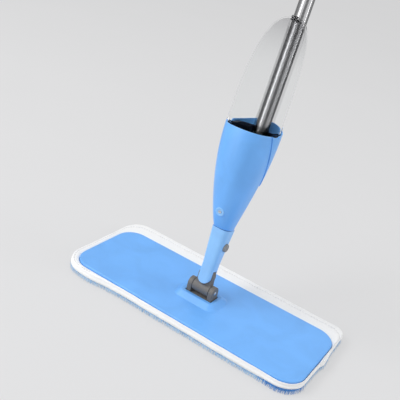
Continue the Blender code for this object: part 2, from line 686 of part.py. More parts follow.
def make_neck():
    """Neck: a clevis with round lugs below and a socket for the housing's spigot above."""
    lug_low = ROLL_RISE - LUG_HALF
    neck = loft("neck",
                [neck_ring(height, 0) for height in (lug_low - CUT_PAST, NECK_STRAIGHT_TOP, SEAM_HEIGHT)])
    flare_half = LUG_HALF + 3 * CUT_PAST
    round_end = arc(0, ROLL_RISE, LUG_HALF, 180, 360)
    keep = round_end + [(LUG_HALF, NECK_STRAIGHT_TOP), (flare_half, SEAM_HEIGHT + CUT_PAST),
                        (-flare_half, SEAM_HEIGHT + CUT_PAST), (-LUG_HALF, NECK_STRAIGHT_TOP)]
    trim(neck, prism("lug_outline", keep, "Y", -2 * LUG_HALF, 2 * LUG_HALF), HANDLE)
    cut(neck, cylinder("crotch", (0, -LUG_INNER, ROLL_RISE), (0, LUG_INNER, ROLL_RISE),
                       TONGUE_RADIUS + CROTCH_CLEARANCE), HANDLE)
    cut(neck, cylinder("neck_roll_hole", (0, PIN_COVER - LUG_HALF, ROLL_RISE),
                       (0, LUG_HALF + CUT_PAST, ROLL_RISE), PIN_HOLE), HANDLE)
    cut(neck, loft("neck_socket", [neck_ring(height, NECK_WALL)
                                   for height in (SOCKET_FLOOR, SEAM_HEIGHT + CUT_PAST)]), HANDLE)
    cut(neck, cylinder("neck_button_hole", (0, 0, BUTTON_HEIGHT), (2 * LUG_HALF, 0, BUTTON_HEIGHT),
                       BUTTON_RADIUS + SEAT_GAP), HANDLE)
    part(neck, HANDLE, PALE_BLUE_PLASTIC)


def make_neck_button():
    """Release button that locks the spigot in the neck, and the bent leaf that pushes it out."""
    face = neck_halves(BUTTON_HEIGHT)[0] + BUTTON_PROUD
    inner = face - BUTTON_LENGTH
    tall = BUTTON_RADIUS + BUTTON_FLANGE
    button = cylinder("neck_button", (inner, 0, BUTTON_HEIGHT), (face, 0, BUTTON_HEIGHT), BUTTON_RADIUS)
    join(button, box("button_flange", (inner, -BUTTON_FLANGE_HALF, BUTTON_HEIGHT - tall),
                     (inner + BUTTON_FLANGE_THICK, BUTTON_FLANGE_HALF, BUTTON_HEIGHT + tall)),
         NECK_BUTTON)
    part(button, NECK_BUTTON, GREY_PLASTIC)
    wall = spigot_halves(BUTTON_HEIGHT - LEAF_LENGTH / 2, SPIGOT_WALL)[0] - SEAT_GAP - LEAF_THICK / 2
    touch = inner - SEAT_GAP - LEAF_THICK / 2
    low, high = BUTTON_HEIGHT - LEAF_LENGTH / 2, BUTTON_HEIGHT + LEAF_LENGTH / 2
    route = ((-wall, high), (-wall, low), (touch, BUTTON_HEIGHT - LEAF_THICK),
             (touch, BUTTON_HEIGHT + LEAF_LENGTH / 6))
    leaf = prism("neck_button_spring", strip(route, LEAF_THICK), "Y", -LEAF_WIDTH / 2, LEAF_WIDTH / 2)
    part(leaf, HANDLE, SPRING_STEEL)


def swell(height, power):
    """Share of the way from the seam's size to the rim's, a quarter sine raised to a power."""
    share = (height - SEAM_HEIGHT) / (RIM_HEIGHT - SEAM_HEIGHT)
    return math.sin(math.pi / 2 * min(max(share, 0.0), 1.0)) ** power


def housing_sizes(height, inset):
    """Half width, front and back of the housing's section at a height, moved in by inset."""
    half = HOUSING_SEAM_HALF + (HOUSING_RIM_HALF - HOUSING_SEAM_HALF) * swell(height, HOUSING_SWELL)
    front = HOUSING_SEAM_FRONT + (HOUSING_RIM_FRONT - HOUSING_SEAM_FRONT) * swell(height,
                                                                                  HOUSING_FRONT_SWELL)
    back = HOUSING_SEAM_BACK + (HOUSING_RIM_BACK - HOUSING_SEAM_BACK) * swell(height, HOUSING_SWELL)
    widest = HOUSING_WIDEST_Y * swell(height, HOUSING_FRONT_SWELL)
    return half - inset, front + inset, back - inset, widest


def housing_loft(name, heights, inset, tilted_top=False):
    """Body with the housing's sections, moved in by inset; its top may slope with the rim."""
    rings = [egg_ring(*housing_sizes(height, inset), height) for height in heights[:-1]]
    tilt = RIM_TILT if tilted_top else 0.0
    rings.append(egg_ring(*housing_sizes(heights[-1], inset), heights[-1], tilt=tilt,
                          tilt_y=RIM_CENTRE_Y))
    return loft(name, rings)


def spigot_halves(height, inset):
    """Half sizes of the spigot that stands in the neck's socket."""
    half_x, half_y = neck_halves(height)
    shrink = NECK_WALL + SEAT_GAP + inset
    return half_x - shrink, half_y - shrink


def cover_outline(gap):
    """Side outline of the rear cover's space, grown by gap."""
    top_z = CROWN_TOP + 10 * CUT_PAST
    back_y = HOUSING_RIM_BACK + 10 * CUT_PAST
    return [(COVER_TOP_Y - gap, top_z), (COVER_TOP_Y - gap, RIM_HEIGHT), (COVER_LOW_Y - gap, COVER_LOW_Z),
            (COVER_POINT_Y - gap, COVER_POINT_Z - gap), (back_y, COVER_POINT_Z - gap), (back_y, top_z)]


def nozzle_point(depth):
    """Point on the nozzle's axis, depth below the housing's front surface."""
    front = housing_sizes(NOZZLE_HEIGHT, 0)[1]
    return Vector((0, front + depth * math.cos(NOZZLE_TILT),
                   NOZZLE_HEIGHT + depth * math.sin(NOZZLE_TILT)))


def cover_screw_seat():
    """Where the rear cover's screws seat, measured along Y."""
    return COVER_LOW_Y + COVER_BOSS_DEPTH


def make_housing():
    """Tank housing in two shells, the front one with the cup's wall and a spigot for the neck."""
    heights = np.linspace(HOUSING_LOW, RIM_HEIGHT, 9)
    front = housing_loft("housing_front", heights, 0, tilted_top=True)
    spigot_low = SEAM_HEIGHT - SPIGOT_LENGTH
    inset = NECK_WALL + SEAT_GAP
    overlap = HOUSING_LOW + HOUSING_WALL / 2
    spigot_rings = [neck_ring(spigot_low, inset), neck_ring(SEAM_HEIGHT, inset)]
    spigot_rings.append([(x, y, overlap) for x, y, _ in spigot_rings[-1]])
    join(front, loft("spigot", spigot_rings), HANDLE)
    cavity_heights = np.linspace(HOUSING_LOW + 2 * HOUSING_WALL, RIM_HEIGHT, 8)
    cavity = housing_loft("housing_cavity", np.append(cavity_heights, CROWN_TOP + 12 * CUT_PAST),
                          HOUSING_WALL)
    cut(front, cavity, HANDLE)
    bore = inset + SPIGOT_WALL
    bore_rings = [neck_ring(spigot_low - CUT_PAST, bore), neck_ring(SEAM_HEIGHT, bore)]
    bore_rings.append([(x, y, HOUSING_LOW + 3 * HOUSING_WALL) for x, y, _ in bore_rings[-1]])
    cut(front, loft("spigot_bore", bore_rings), HANDLE)
    cut(front, cylinder("spigot_button_hole", (0, 0, BUTTON_HEIGHT), (2 * LUG_HALF, 0, BUTTON_HEIGHT),
                        BUTTON_RADIUS + SEAT_GAP), HANDLE)
    add_nozzle_seat(front)
    for number, side in ((1, -1), (2, 1)):
        add_cover_boss(front, number, side)
    far = 2 * HOUSING_RIM_HALF
    cut(front, prism("cover_space", cover_outline(SEAT_GAP), "X", -far, far), HANDLE)
    part(front, HANDLE, BLUE_PLASTIC)
    make_rear_cover(cavity)


def add_nozzle_seat(front):
    """Boss, pocket and hole for the nozzle in the front shell."""
    floor = NOZZLE_FLANGE - NOZZLE_PROUD + SEAT_GAP
    wide = NOZZLE_RADIUS + SEAT_GAP
    join(front,
         cylinder("nozzle_boss", nozzle_point(HOUSING_WALL / 2), nozzle_point(floor + NOZZLE_BOSS_WALL),
                         wide + NOZZLE_BOSS_WALL), HANDLE)
    cut(front, cylinder("nozzle_pocket", nozzle_point(-5 * NOZZLE_FLANGE), nozzle_point(floor), wide),
        HANDLE)
    cut(front, cylinder("nozzle_hole", nozzle_point(0), nozzle_point(floor + 4 * NOZZLE_BOSS_WALL),
                        NOZZLE_BODY_RADIUS + SEAT_GAP), HANDLE)


def add_cover_boss(front, number, side):
    """Screw boss on the front shell's side wall, with a blind hole from the back."""
    x = side * COVER_SCREW_X
    wall = side * (housing_sizes(COVER_SCREW_Z, 0)[0] - HOUSING_WALL / 2)
    inner = x - side * COVER_BOSS_HALF
    low = (min(inner, wall), COVER_LOW_Y - COVER_BOSS_DEPTH, COVER_SCREW_Z - COVER_BOSS_HALF)
    high = (max(inner, wall), COVER_LOW_Y - SEAT_GAP, COVER_SCREW_Z + COVER_BOSS_HALF)
    block = box(f"cover_boss_{number}", low, high)
    trim(block, housing_loft(f"boss_limit_{number}", np.linspace(HOUSING_LOW, RIM_HEIGHT, 9),
                             HOUSING_WALL / 2), HANDLE)
    join(front, block, HANDLE)
    cut(front, cylinder(f"cover_boss_hole_{number}",
                        (x, COVER_LOW_Y - COVER_BOSS_DEPTH + SEAT_GAP, COVER_SCREW_Z),
                        (x, COVER_LOW_Y + CUT_PAST, COVER_SCREW_Z), SCREW_HOLE, SMALL_SIDES), HANDLE)


def make_rear_cover(cavity):
    """Rear cover, standing slightly proud of the front shell.

    Its crown arches over behind the pole. Above the rim only a thin lip is left, which laps the bottle.
    """
    low = COVER_POINT_Z - 4 * CUT_PAST
    heights = np.append(np.linspace(low, RIM_HEIGHT, 6), CROWN_TOP + 8 * CUT_PAST)
    cover = housing_loft("housing_rear", heights, -COVER_PROUD)
    wide = 2 * HOUSING_RIM_BACK
    trim(cover, prism("cover_keep", cover_outline(0), "X", -wide, wide), HANDLE)
    sky = CROWN_TOP + 12 * CUT_PAST
    sag = CROWN_TOP - CROWN_FOOT
    radius = (CROWN_FOOT_HALF ** 2 + sag ** 2) / (2 * sag)
    spread = math.degrees(math.asin(CROWN_FOOT_HALF / radius))
    crown = arc(0, CROWN_TOP - radius, radius, 90 - spread, 90 + spread, 14)
    keep = [*crown, (-CROWN_FOOT_HALF, low - wide), (CROWN_FOOT_HALF, low - wide)]
    trim(cover, prism("cover_crown", keep, "Y", -sky, sky), HANDLE)
    rim_low = RIM_HEIGHT + math.tan(RIM_TILT) * (COVER_TOP_Y - RIM_CENTRE_Y)
    flank = [(-wide, rim_low), (LIP_FOOT_Y, rim_low), (LIP_FOOT_Y + sky - rim_low, sky), (wide, sky),
             (wide, low - wide), (-wide, low - wide)]
    trim(cover, prism("cover_flank", flank, "X", -wide, wide), HANDLE)
    cut(cover, cavity, HANDLE)
    lip_sizes = housing_sizes(RIM_HEIGHT, BOTTLE_FLUSH - LIP_GAP)
    ledge = egg_ring(*lip_sizes, RIM_HEIGHT, tilt=RIM_TILT, tilt_y=RIM_CENTRE_Y)
    cut(cover, loft("cover_ledge", [ledge, egg_ring(*lip_sizes, sky)]), HANDLE)
    for number, way in ((1, -1), (2, 1)):
        x = way * COVER_SCREW_X
        seat = cover_screw_seat()
        lug = cylinder(f"cover_lug_{number}", (x, COVER_LOW_Y + SEAT_GAP, COVER_SCREW_Z),
                       (x, HOUSING_RIM_BACK, COVER_SCREW_Z), SCREW_HEAD_RADIUS + HOUSING_WALL / 2,
                       SMALL_SIDES)
        trim(lug, housing_loft(f"lug_limit_{number}", np.linspace(HOUSING_LOW, RIM_HEIGHT, 9),
                               HOUSING_WALL / 2), HANDLE)
        join(cover, lug, HANDLE)
        cut(cover, cylinder(f"cover_screw_hole_{number}", (x, 0, COVER_SCREW_Z),
                            (x, seat + CUT_PAST, COVER_SCREW_Z),
                            SCREW_HOLE, SMALL_SIDES), HANDLE)
        cut(cover, cylinder(f"cover_head_hole_{number}", (x, seat - SEAT_GAP, COVER_SCREW_Z),
                            (x, 2 * HOUSING_RIM_BACK, COVER_SCREW_Z), SCREW_HEAD_RADIUS + SEAT_GAP,
                            SMALL_SIDES), HANDLE)
        screw(f"housing_screw_{number}", (x, seat, COVER_SCREW_Z), (0, -1, 0),
              2 * COVER_BOSS_DEPTH - 2 * SEAT_GAP, HANDLE)
    part(cover, HANDLE, BLUE_PLASTIC)


def make_nozzle():
    """Nozzle: a flanged body in the front shell, its orifice insert and the outlet valve behind it."""
    way = (nozzle_point(0) - nozzle_point(1)).normalized()
    tail = NOZZLE_BODY_LENGTH
    top = NOZZLE_PROUD
    profile = ((NOZZLE_BORE, top), (NOZZLE_RADIUS, top), (NOZZLE_RADIUS, top - NOZZLE_FLANGE),
               (NOZZLE_BODY_RADIUS, top - NOZZLE_FLANGE), (NOZZLE_BODY_RADIUS, -tail),
               (BARB_RADIUS, -tail), (BARB_RADIUS, -tail - BARB_LENGTH), (BARB_BORE, -tail - BARB_LENGTH),
               (BARB_BORE, -NOZZLE_BORE_DEPTH), (NOZZLE_BORE, -NOZZLE_BORE_DEPTH))
    part(turned("nozzle_body", profile, nozzle_point(0), way), HANDLE, PALE_BLUE_PLASTIC)
    radius = NOZZLE_BORE - SEAT_GAP
    insert = ((ORIFICE_RADIUS, top), (radius, top), (radius, top - INSERT_LENGTH),
              (ORIFICE_RADIUS, top - INSERT_LENGTH))
    part(turned("nozzle_insert", insert, nozzle_point(0), way, sides=SMALL_SIDES), HANDLE, GREY_PLASTIC)
    seat = SEAT_GAP - NOZZLE_BORE_DEPTH
    disc = ((0, seat + VALVE_LENGTH), (radius / 2, seat + VALVE_LENGTH), (radius, seat), (0, seat))
    part(turned("outlet_valve", disc, nozzle_point(0), way, sides=SMALL_SIDES), HANDLE, RUBBER)


def make_seat():
    """Floor of the cup: a plate with the post that opens the bottle's valve and an inlet barb below."""
    shrink = HOUSING_WALL + SEAT_GAP
    low = SEAT_TOP - SEAT_THICK
    seat = housing_loft("bottle_seat", (low, SEAT_TOP), shrink)
    post_top = CAP_LOW + CAP_FLOOR - SEAT_GAP
    join(seat, cylinder("seat_post", (0, MOUTH_Y, SEAT_TOP - SEAT_THICK / 2), (0, MOUTH_Y, post_top),
                        POST_RADIUS), HANDLE)
    boss = POST_RADIUS + BARB_RADIUS
    boss_low = INLET_HEIGHT - boss
    join(seat, cylinder("inlet_boss", (0, MOUTH_Y, boss_low), (0, MOUTH_Y, low + SEAT_THICK / 2), boss),
         HANDLE)
    barb_end = MOUTH_Y + boss + INLET_BARB_LENGTH
    join(seat, cylinder("inlet_barb", (0, MOUTH_Y, INLET_HEIGHT), (0, barb_end, INLET_HEIGHT),
                        BARB_RADIUS, SMALL_SIDES), HANDLE)
    cut(seat,
        cylinder("post_bore", (0, MOUTH_Y, INLET_HEIGHT - BARB_RADIUS), (0, MOUTH_Y, post_top + CUT_PAST),
                       HOSE_BORE, SMALL_SIDES), HANDLE)
    cut(seat,
        cylinder("inlet_barb_bore", (0, MOUTH_Y, INLET_HEIGHT), (0, barb_end + CUT_PAST, INLET_HEIGHT),
                       BARB_BORE, SMALL_SIDES), HANDLE)
    cut(seat,
        cylinder("pump_hole", (0, POLE_OFFSET, low - CUT_PAST), (0, POLE_OFFSET, SEAT_TOP + CUT_PAST),
                       PUMP_RADIUS + SEAT_GAP), HANDLE)
    part(seat, HANDLE, NAVY_PLASTIC)
    ring_low, ring_high = SEAT_TOP + SEAT_GAP, CAP_LOW - SEAT_GAP
    part(tube("seat_seal", SEAL_RADIUS + SEAL_HALF_WIDTH, SEAL_RADIUS - SEAL_HALF_WIDTH, ring_low,
              ring_high, MOUTH_Y), HANDLE, RUBBER)


def make_pump():
    """Piston pump under the pole: barrel, head, piston, return spring and the two short hoses."""
    flange_low = SEAT_TOP + SEAT_GAP
    flange_top = flange_low + PUMP_FLANGE_THICK
    nub_low = PUMP_LOW - BARB_LENGTH
    profile = ((PUMP_RADIUS, PUMP_TOP), (PUMP_RADIUS, flange_top), (PUMP_FLANGE_RADIUS, flange_top),
               (PUMP_FLANGE_RADIUS, flange_low), (PUMP_RADIUS, flange_low), (PUMP_RADIUS, PUMP_LOW),
               (BARB_RADIUS, PUMP_LOW), (BARB_RADIUS, nub_low), (BARB_BORE, nub_low),
               (BARB_BORE, PUMP_LOW + PUMP_FLOOR), (PUMP_BORE, PUMP_LOW + PUMP_FLOOR),
               (PUMP_BORE, PUMP_TOP))
    body = turned("pump_body", profile, (0, POLE_OFFSET, 0))
    near = POLE_OFFSET - PUMP_RADIUS
    root = POLE_OFFSET - (PUMP_RADIUS + PUMP_BORE) / 2
    tip = near - INLET_BARB_LENGTH
    join(body, cylinder("pump_barb", (0, tip, INLET_HEIGHT), (0, root, INLET_HEIGHT), BARB_RADIUS,
                        SMALL_SIDES), HANDLE)
    cut(body,
        cylinder("pump_barb_bore", (0, tip - CUT_PAST, INLET_HEIGHT), (0, POLE_OFFSET, INLET_HEIGHT),
                       BARB_BORE, SMALL_SIDES), HANDLE)
    part(body, HANDLE, NAVY_PLASTIC)
    head_low = PUMP_TOP + SEAT_GAP
    head_top = head_low + HEAD_FLANGE_THICK
    spigot = POLE_RADIUS - POLE_WALL - SEAT_GAP
    rod_hole = ROD_RADIUS + SEAT_GAP
    head = ((rod_hole, head_top + HEAD_SPIGOT), (spigot, head_top + HEAD_SPIGOT), (spigot, head_top),
            (POLE_RADIUS, head_top), (POLE_RADIUS, head_low), (rod_hole, head_low))
    part(turned("pump_head", head, (0, POLE_OFFSET, 0)), HANDLE, NAVY_PLASTIC)
    radius = PUMP_BORE - SEAT_GAP
    piston_low = PISTON_TOP - PISTON_LENGTH
    part(cylinder("pump_piston", (0, POLE_OFFSET, piston_low), (0, POLE_OFFSET, PISTON_TOP), radius),
         PLUNGER, GREY_PLASTIC)
    make_pump_spring(PUMP_LOW + PUMP_FLOOR + SEAT_GAP, piston_low - SEAT_GAP)
    boss_back = MOUTH_Y + POST_RADIUS + BARB_RADIUS
    hose_ends = (boss_back + SEAT_GAP, near - SEAT_GAP)
    wall = ((HOSE_RADIUS, hose_ends[1] - hose_ends[0]), (HOSE_RADIUS, 0), (HOSE_BORE, 0),
            (HOSE_BORE, hose_ends[1] - hose_ends[0]))
    part(turned("inlet_hose", wall, (0, hose_ends[0], INLET_HEIGHT), (0, 1, 0), sides=SMALL_SIDES),
         HANDLE, HOSE_VINYL)
    valve_y = (boss_back + INLET_BARB_LENGTH + tip) / 2 - VALVE_LENGTH / 2
    part(cylinder("inlet_valve", (0, valve_y, INLET_HEIGHT), (0, valve_y + VALVE_LENGTH, INLET_HEIGHT),
                  HOSE_BORE - SEAT_GAP, SMALL_SIDES), HANDLE, RUBBER)
    make_outlet_hose()


def swept_tube(name, points, radius, resolution):
    """Round tube with filled ends along a list of points, as a welded mesh object."""
    data = bpy.data.curves.new(name, "CURVE")
    data.dimensions = "3D"
    data.bevel_depth = radius
    data.bevel_resolution = resolution
    data.use_fill_caps = True
    spline = data.splines.new("POLY")
    spline.points.add(len(points) - 1)
    for point, place_at in zip(spline.points, points):
        point.co = (*place_at, 1.0)
    curve = bpy.data.objects.new(name + "_route", data)
    bpy.context.scene.collection.objects.link(curve)
    evaluated = curve.evaluated_get(bpy.context.evaluated_depsgraph_get())
    bm = bmesh.new()
    bm.from_mesh(bpy.data.meshes.new_from_object(evaluated))
    bmesh.ops.remove_doubles(bm, verts=bm.verts, dist=1e-6)
    bpy.data.objects.remove(curve, do_unlink=True)
    return object_from(bm, name)


def make_pump_spring(low, high):
    """Return spring between the barrel's floor and the piston, one unbroken helix."""
    coil = PUMP_BORE - SEAT_GAP - SPRING_WIRE - 2 * SEAT_GAP
    share = np.linspace(0, 1, SPRING_TURNS * SPRING_POINTS + 1)
    angle = math.tau * SPRING_TURNS * share
    rise = low + SPRING_WIRE + (high - low - 2 * SPRING_WIRE) * share
    points = np.stack([coil * np.cos(angle), POLE_OFFSET + coil * np.sin(angle), rise], axis=1)
    part(swept_tube("pump_spring", points, SPRING_WIRE, 1), HANDLE, SPRING_STEEL)


def make_outlet_hose():
    """Hose from the foot of the pump to the back of the nozzle, on one smooth curve."""
    start = Vector((0, POLE_OFFSET, PUMP_LOW - SEAT_GAP))
    end = nozzle_point(NOZZLE_BODY_LENGTH + SEAT_GAP)
    way = (nozzle_point(1) - nozzle_point(0)).normalized()
    leave, arrive = start - Vector((0, 0, BARB_LENGTH)), end + way * BARB_LENGTH
    pull = (leave - arrive).length * HOSE_BEND_PULL
    knots = (leave, leave - Vector((0, 0, pull)), arrive + way * pull, arrive)
    share = np.linspace(0, 1, 13)[:, None]
    weights = ((1 - share) ** 3, 3 * share * (1 - share) ** 2, 3 * share ** 2 * (1 - share), share ** 3)
    bend = sum(weight * np.array(knot) for weight, knot in zip(weights, knots))
    points = np.concatenate([[start], bend, [end]])
    hose = swept_tube("outlet_hose", points, HOSE_RADIUS, 2)
    steps = np.diff(points, axis=0)
    longer = np.concatenate([points[:1] - steps[:1], points, points[-1:] + steps[-1:]])
    cut(hose, swept_tube("outlet_hose_bore", longer, HOSE_BORE, 2), HANDLE)
    part(hose, HANDLE, HOSE_VINYL)


def bottle_sizes(height, inset):
    """Half width, front, back and widest line of the bottle.

    It follows the cup, steps out over the rim to the housing's own line, bulges a little and domes over.
    """
    above = height - RIM_HEIGHT
    rise = min(max(above / (BOTTLE_TOP - inset - RIM_HEIGHT), 0.0), 1.0)
    dome = (1 - rise ** BOTTLE_DOME) ** (1 / BOTTLE_DOME)
    steep = math.sqrt(1 - rise ** BOTTLE_BACK_DOME)
    step = min(max((above - SHOULDER_LIFT) / SHOULDER_RISE, 0.0), 1.0)
    in_cup = HOUSING_WALL + BOTTLE_GAP
    half, front, cup_back, widest = housing_sizes(height, in_cup + (BOTTLE_FLUSH - in_cup) * step)
    front -= BOTTLE_BULGE * math.sin(math.pi * rise ** BOTTLE_BULGE_SKEW)
    front = BOTTLE_APEX_Y + (front - BOTTLE_APEX_Y) * dome
    back = BOTTLE_APEX_Y + (min(BOTTLE_BACK, cup_back) - BOTTLE_APEX_Y) * steep
    widest = BOTTLE_APEX_Y + (widest - BOTTLE_APEX_Y) * dome
    return half * dome - inset, front + inset, back - inset, widest


def bottle_loft(name, inset):
    """Body with the bottle's sections moved in by inset; those near the rim slope with it."""
    shoulder = RIM_HEIGHT + SHOULDER_LIFT
    turn = np.linspace(0, math.pi / 2 - DOME_LAST_RING, 11)
    high = shoulder + SHOULDER_RISE
    dome = high + (BOTTLE_TOP - inset - high) * np.sin(turn)
    heights = np.concatenate([np.linspace(BOTTLE_LOW + inset, shoulder, 4), dome])
    slopes = RIM_TILT * np.clip(1 - np.abs(heights - RIM_HEIGHT) / SHOULDER_FADE, 0, 1)
    rings = [egg_ring(*bottle_sizes(height, inset), height, tilt=slope, tilt_y=RIM_CENTRE_Y)
             for height, slope in zip(heights, slopes)]
    return loft(name, rings)


def channel_outline(clearance):
    """Outline of the pole's channel in the bottle's back, open to the rear."""
    radius = POLE_RADIUS + clearance
    return arc(0, POLE_OFFSET, radius, 180, 360, 16) + [(radius, 3 * POLE_OFFSET),
                                                        (-radius, 3 * POLE_OFFSET)]


def make_bottle():
    """Clear bottle, mouth down, with a channel at the back that straddles the pole."""
    low, high = BOTTLE_LOW - CUT_PAST, BOTTLE_TOP + CUT_PAST
    bottle = bottle_loft("bottle", 0)
    cut(bottle, prism("bottle_channel", channel_outline(CHANNEL_GAP), "Z", low, high), BOTTLE)
    join(bottle,
         cylinder("bottle_mouth", (0, MOUTH_Y, MOUTH_LOW), (0, MOUTH_Y, BOTTLE_LOW + BOTTLE_WALL / 2),
                          MOUTH_RADIUS), BOTTLE)
    join(bottle, cylinder("bottle_spout", (0, VENT_Y, VENT_TOP - SPOUT_LENGTH), (0, VENT_Y, VENT_TOP),
                          SPOUT_RADIUS, SMALL_SIDES), BOTTLE)
    inside = bottle_loft("bottle_inside", BOTTLE_WALL)
    cut(inside, prism("channel_wall", channel_outline(CHANNEL_GAP + BOTTLE_WALL), "Z", low, high), BOTTLE)
    cut(bottle, inside, BOTTLE)
    cut(bottle, cylinder("mouth_bore", (0, MOUTH_Y, MOUTH_LOW - CUT_PAST),
                         (0, MOUTH_Y, BOTTLE_LOW + 2 * BOTTLE_WALL), MOUTH_BORE), BOTTLE)
    cut(bottle,
        cylinder("vent_hole", (0, VENT_Y, VENT_TOP - 2 * SPOUT_LENGTH), (0, VENT_Y, VENT_TOP + CUT_PAST),
                         VENT_RADIUS + SEAT_GAP, SMALL_SIDES), BOTTLE)
    part(bottle, BOTTLE, CLEAR_PLASTIC)
    part(cylinder("bottle_vent", (0, VENT_Y, VENT_TOP - VENT_LENGTH),
                  (0, VENT_Y, VENT_TOP + VENT_PROUD), VENT_RADIUS,
                  SMALL_SIDES), BOTTLE, RUBBER)
    floor = CAP_LOW + CAP_FLOOR
    bore = MOUTH_RADIUS + SEAT_GAP
    cap = ((bore, CAP_TOP), (CAP_RADIUS, CAP_TOP), (CAP_RADIUS, CAP_LOW), (CAP_HOLE, CAP_LOW),
           (CAP_HOLE, floor), (bore, floor))
    part(turned("bottle_cap", cap, (0, MOUTH_Y, 0)), BOTTLE, NAVY_PLASTIC)
    seal_low, seal_top = floor + SEAT_GAP, MOUTH_LOW - SEAT_GAP
    part(tube("cap_seal", MOUTH_RADIUS, MOUTH_BORE, seal_low, seal_top, MOUTH_Y), BOTTLE, RUBBER)
    valve_top = MOUTH_LOW + CAP_FLOOR
    part(cylinder("cap_valve", (0, MOUTH_Y, seal_low), (0, MOUTH_Y, valve_top), VALVE_RADIUS), BOTTLE,
         RUBBER)


def make_pole():
    """Two steel tubes on an inner sleeve, with a sprung snap button that locks them."""
    inner = POLE_RADIUS - POLE_WALL
    lower = tube("pole_lower", POLE_RADIUS, inner, POLE_LOW, POLE_SPLIT, POLE_OFFSET)
    part(lower, HANDLE, STEEL)
    upper = tube("pole_upper", POLE_RADIUS, inner, POLE_SPLIT + SEAT_GAP, POLE_TOP, POLE_OFFSET)
    sleeve = inner - SEAT_GAP
    sleeve_bore = sleeve - JOINER_WALL
    joiner = tube("pole_joiner", sleeve, sleeve_bore, POLE_SPLIT - JOINER_LENGTH / 2,
                  POLE_SPLIT + JOINER_LENGTH / 2, POLE_OFFSET)
    hole = cylinder("snap_hole", (0, POLE_OFFSET, SNAP_HEIGHT),
                    (0, POLE_OFFSET + 2 * POLE_RADIUS, SNAP_HEIGHT),
                    SNAP_RADIUS + SEAT_GAP, SMALL_SIDES)
    cut(upper, hole, HANDLE)
    cut(joiner, hole, HANDLE)
    part(upper, HANDLE, STEEL)
    part(joiner, HANDLE, NAVY_PLASTIC)
    reach = SNAP_FACE - SNAP_INNER
    profile = ((0, reach), (SNAP_RADIUS, reach), (SNAP_RADIUS, SNAP_FLANGE_THICK),
               (SNAP_FLANGE_RADIUS, SNAP_FLANGE_THICK), (SNAP_FLANGE_RADIUS, 0), (0, 0))
    part(turned("pole_button", profile, (0, POLE_OFFSET + SNAP_INNER, SNAP_HEIGHT), (0, 1, 0),
                sides=SMALL_SIDES), SNAP, STEEL)
    touch = POLE_OFFSET + SNAP_INNER - SEAT_GAP - SNAP_LEAF_THICK / 2
    wall_reach = math.sqrt((sleeve_bore - SEAT_GAP) ** 2 - (SNAP_LEAF_WIDTH / 2) ** 2)
    wall = POLE_OFFSET + wall_reach - SNAP_LEAF_THICK / 2
    top = SNAP_HEIGHT + SNAP_LEAF_LENGTH
    route = ((touch, SNAP_HEIGHT - SNAP_RADIUS), (touch, SNAP_HEIGHT + SNAP_FLANGE_RADIUS),
             (wall, top - SNAP_RADIUS), (wall, top))
    leaf = prism("pole_button_spring", strip(route, SNAP_LEAF_THICK), "X", -SNAP_LEAF_WIDTH / 2,
                 SNAP_LEAF_WIDTH / 2)
    part(leaf, HANDLE, SPRING_STEEL)


def make_push_rod():
    """Rod from the trigger's arm down through the pole to the piston."""
    low, head_low = PISTON_TOP + SEAT_GAP, ROD_TOP - ROD_HEAD_THICK
    profile = ((0, ROD_TOP), (ROD_HEAD_RADIUS, ROD_TOP), (ROD_HEAD_RADIUS, head_low),
               (ROD_RADIUS, head_low), (ROD_RADIUS, low), (0, low))
    part(turned("push_rod", profile, (0, POLE_OFFSET, 0), sides=SMALL_SIDES), PLUNGER, STEEL)


def trigger_outline():
    """Side outline of the trigger: an arm back to the rod and a finger lever that rises to the front."""
    z = TRIGGER_HEIGHT
    tip = arc(POLE_OFFSET, z, TRIGGER_TIP_RADIUS, -90, 90, 8)
    return tip + [(TRIGGER_Y + a, z + b) for a, b in LEVER_INNER + LEVER_OUTER]


def make_trigger():
    """Trigger on its pin; squeezing it swings the arm down on the push rod."""
    half = TRIGGER_THICK / 2
    trigger = prism("trigger", trigger_outline(), "X", -half, half)
    pin_y, pin_z = TRIGGER_Y, TRIGGER_HEIGHT
    cut(trigger, cylinder("trigger_hole", (-2 * half, pin_y, pin_z), (2 * half, pin_y, pin_z),
                          TRIGGER_PIN_RADIUS + SEAT_GAP, SMALL_SIDES), TRIGGER)
    part(trigger, TRIGGER, GREY_PLASTIC)
    reach = TRIGGER_PIN_LENGTH / 2
    part(cylinder("trigger_pin", (-reach, pin_y, pin_z), (reach, pin_y, pin_z), TRIGGER_PIN_RADIUS,
                  SMALL_SIDES), HANDLE, STEEL)


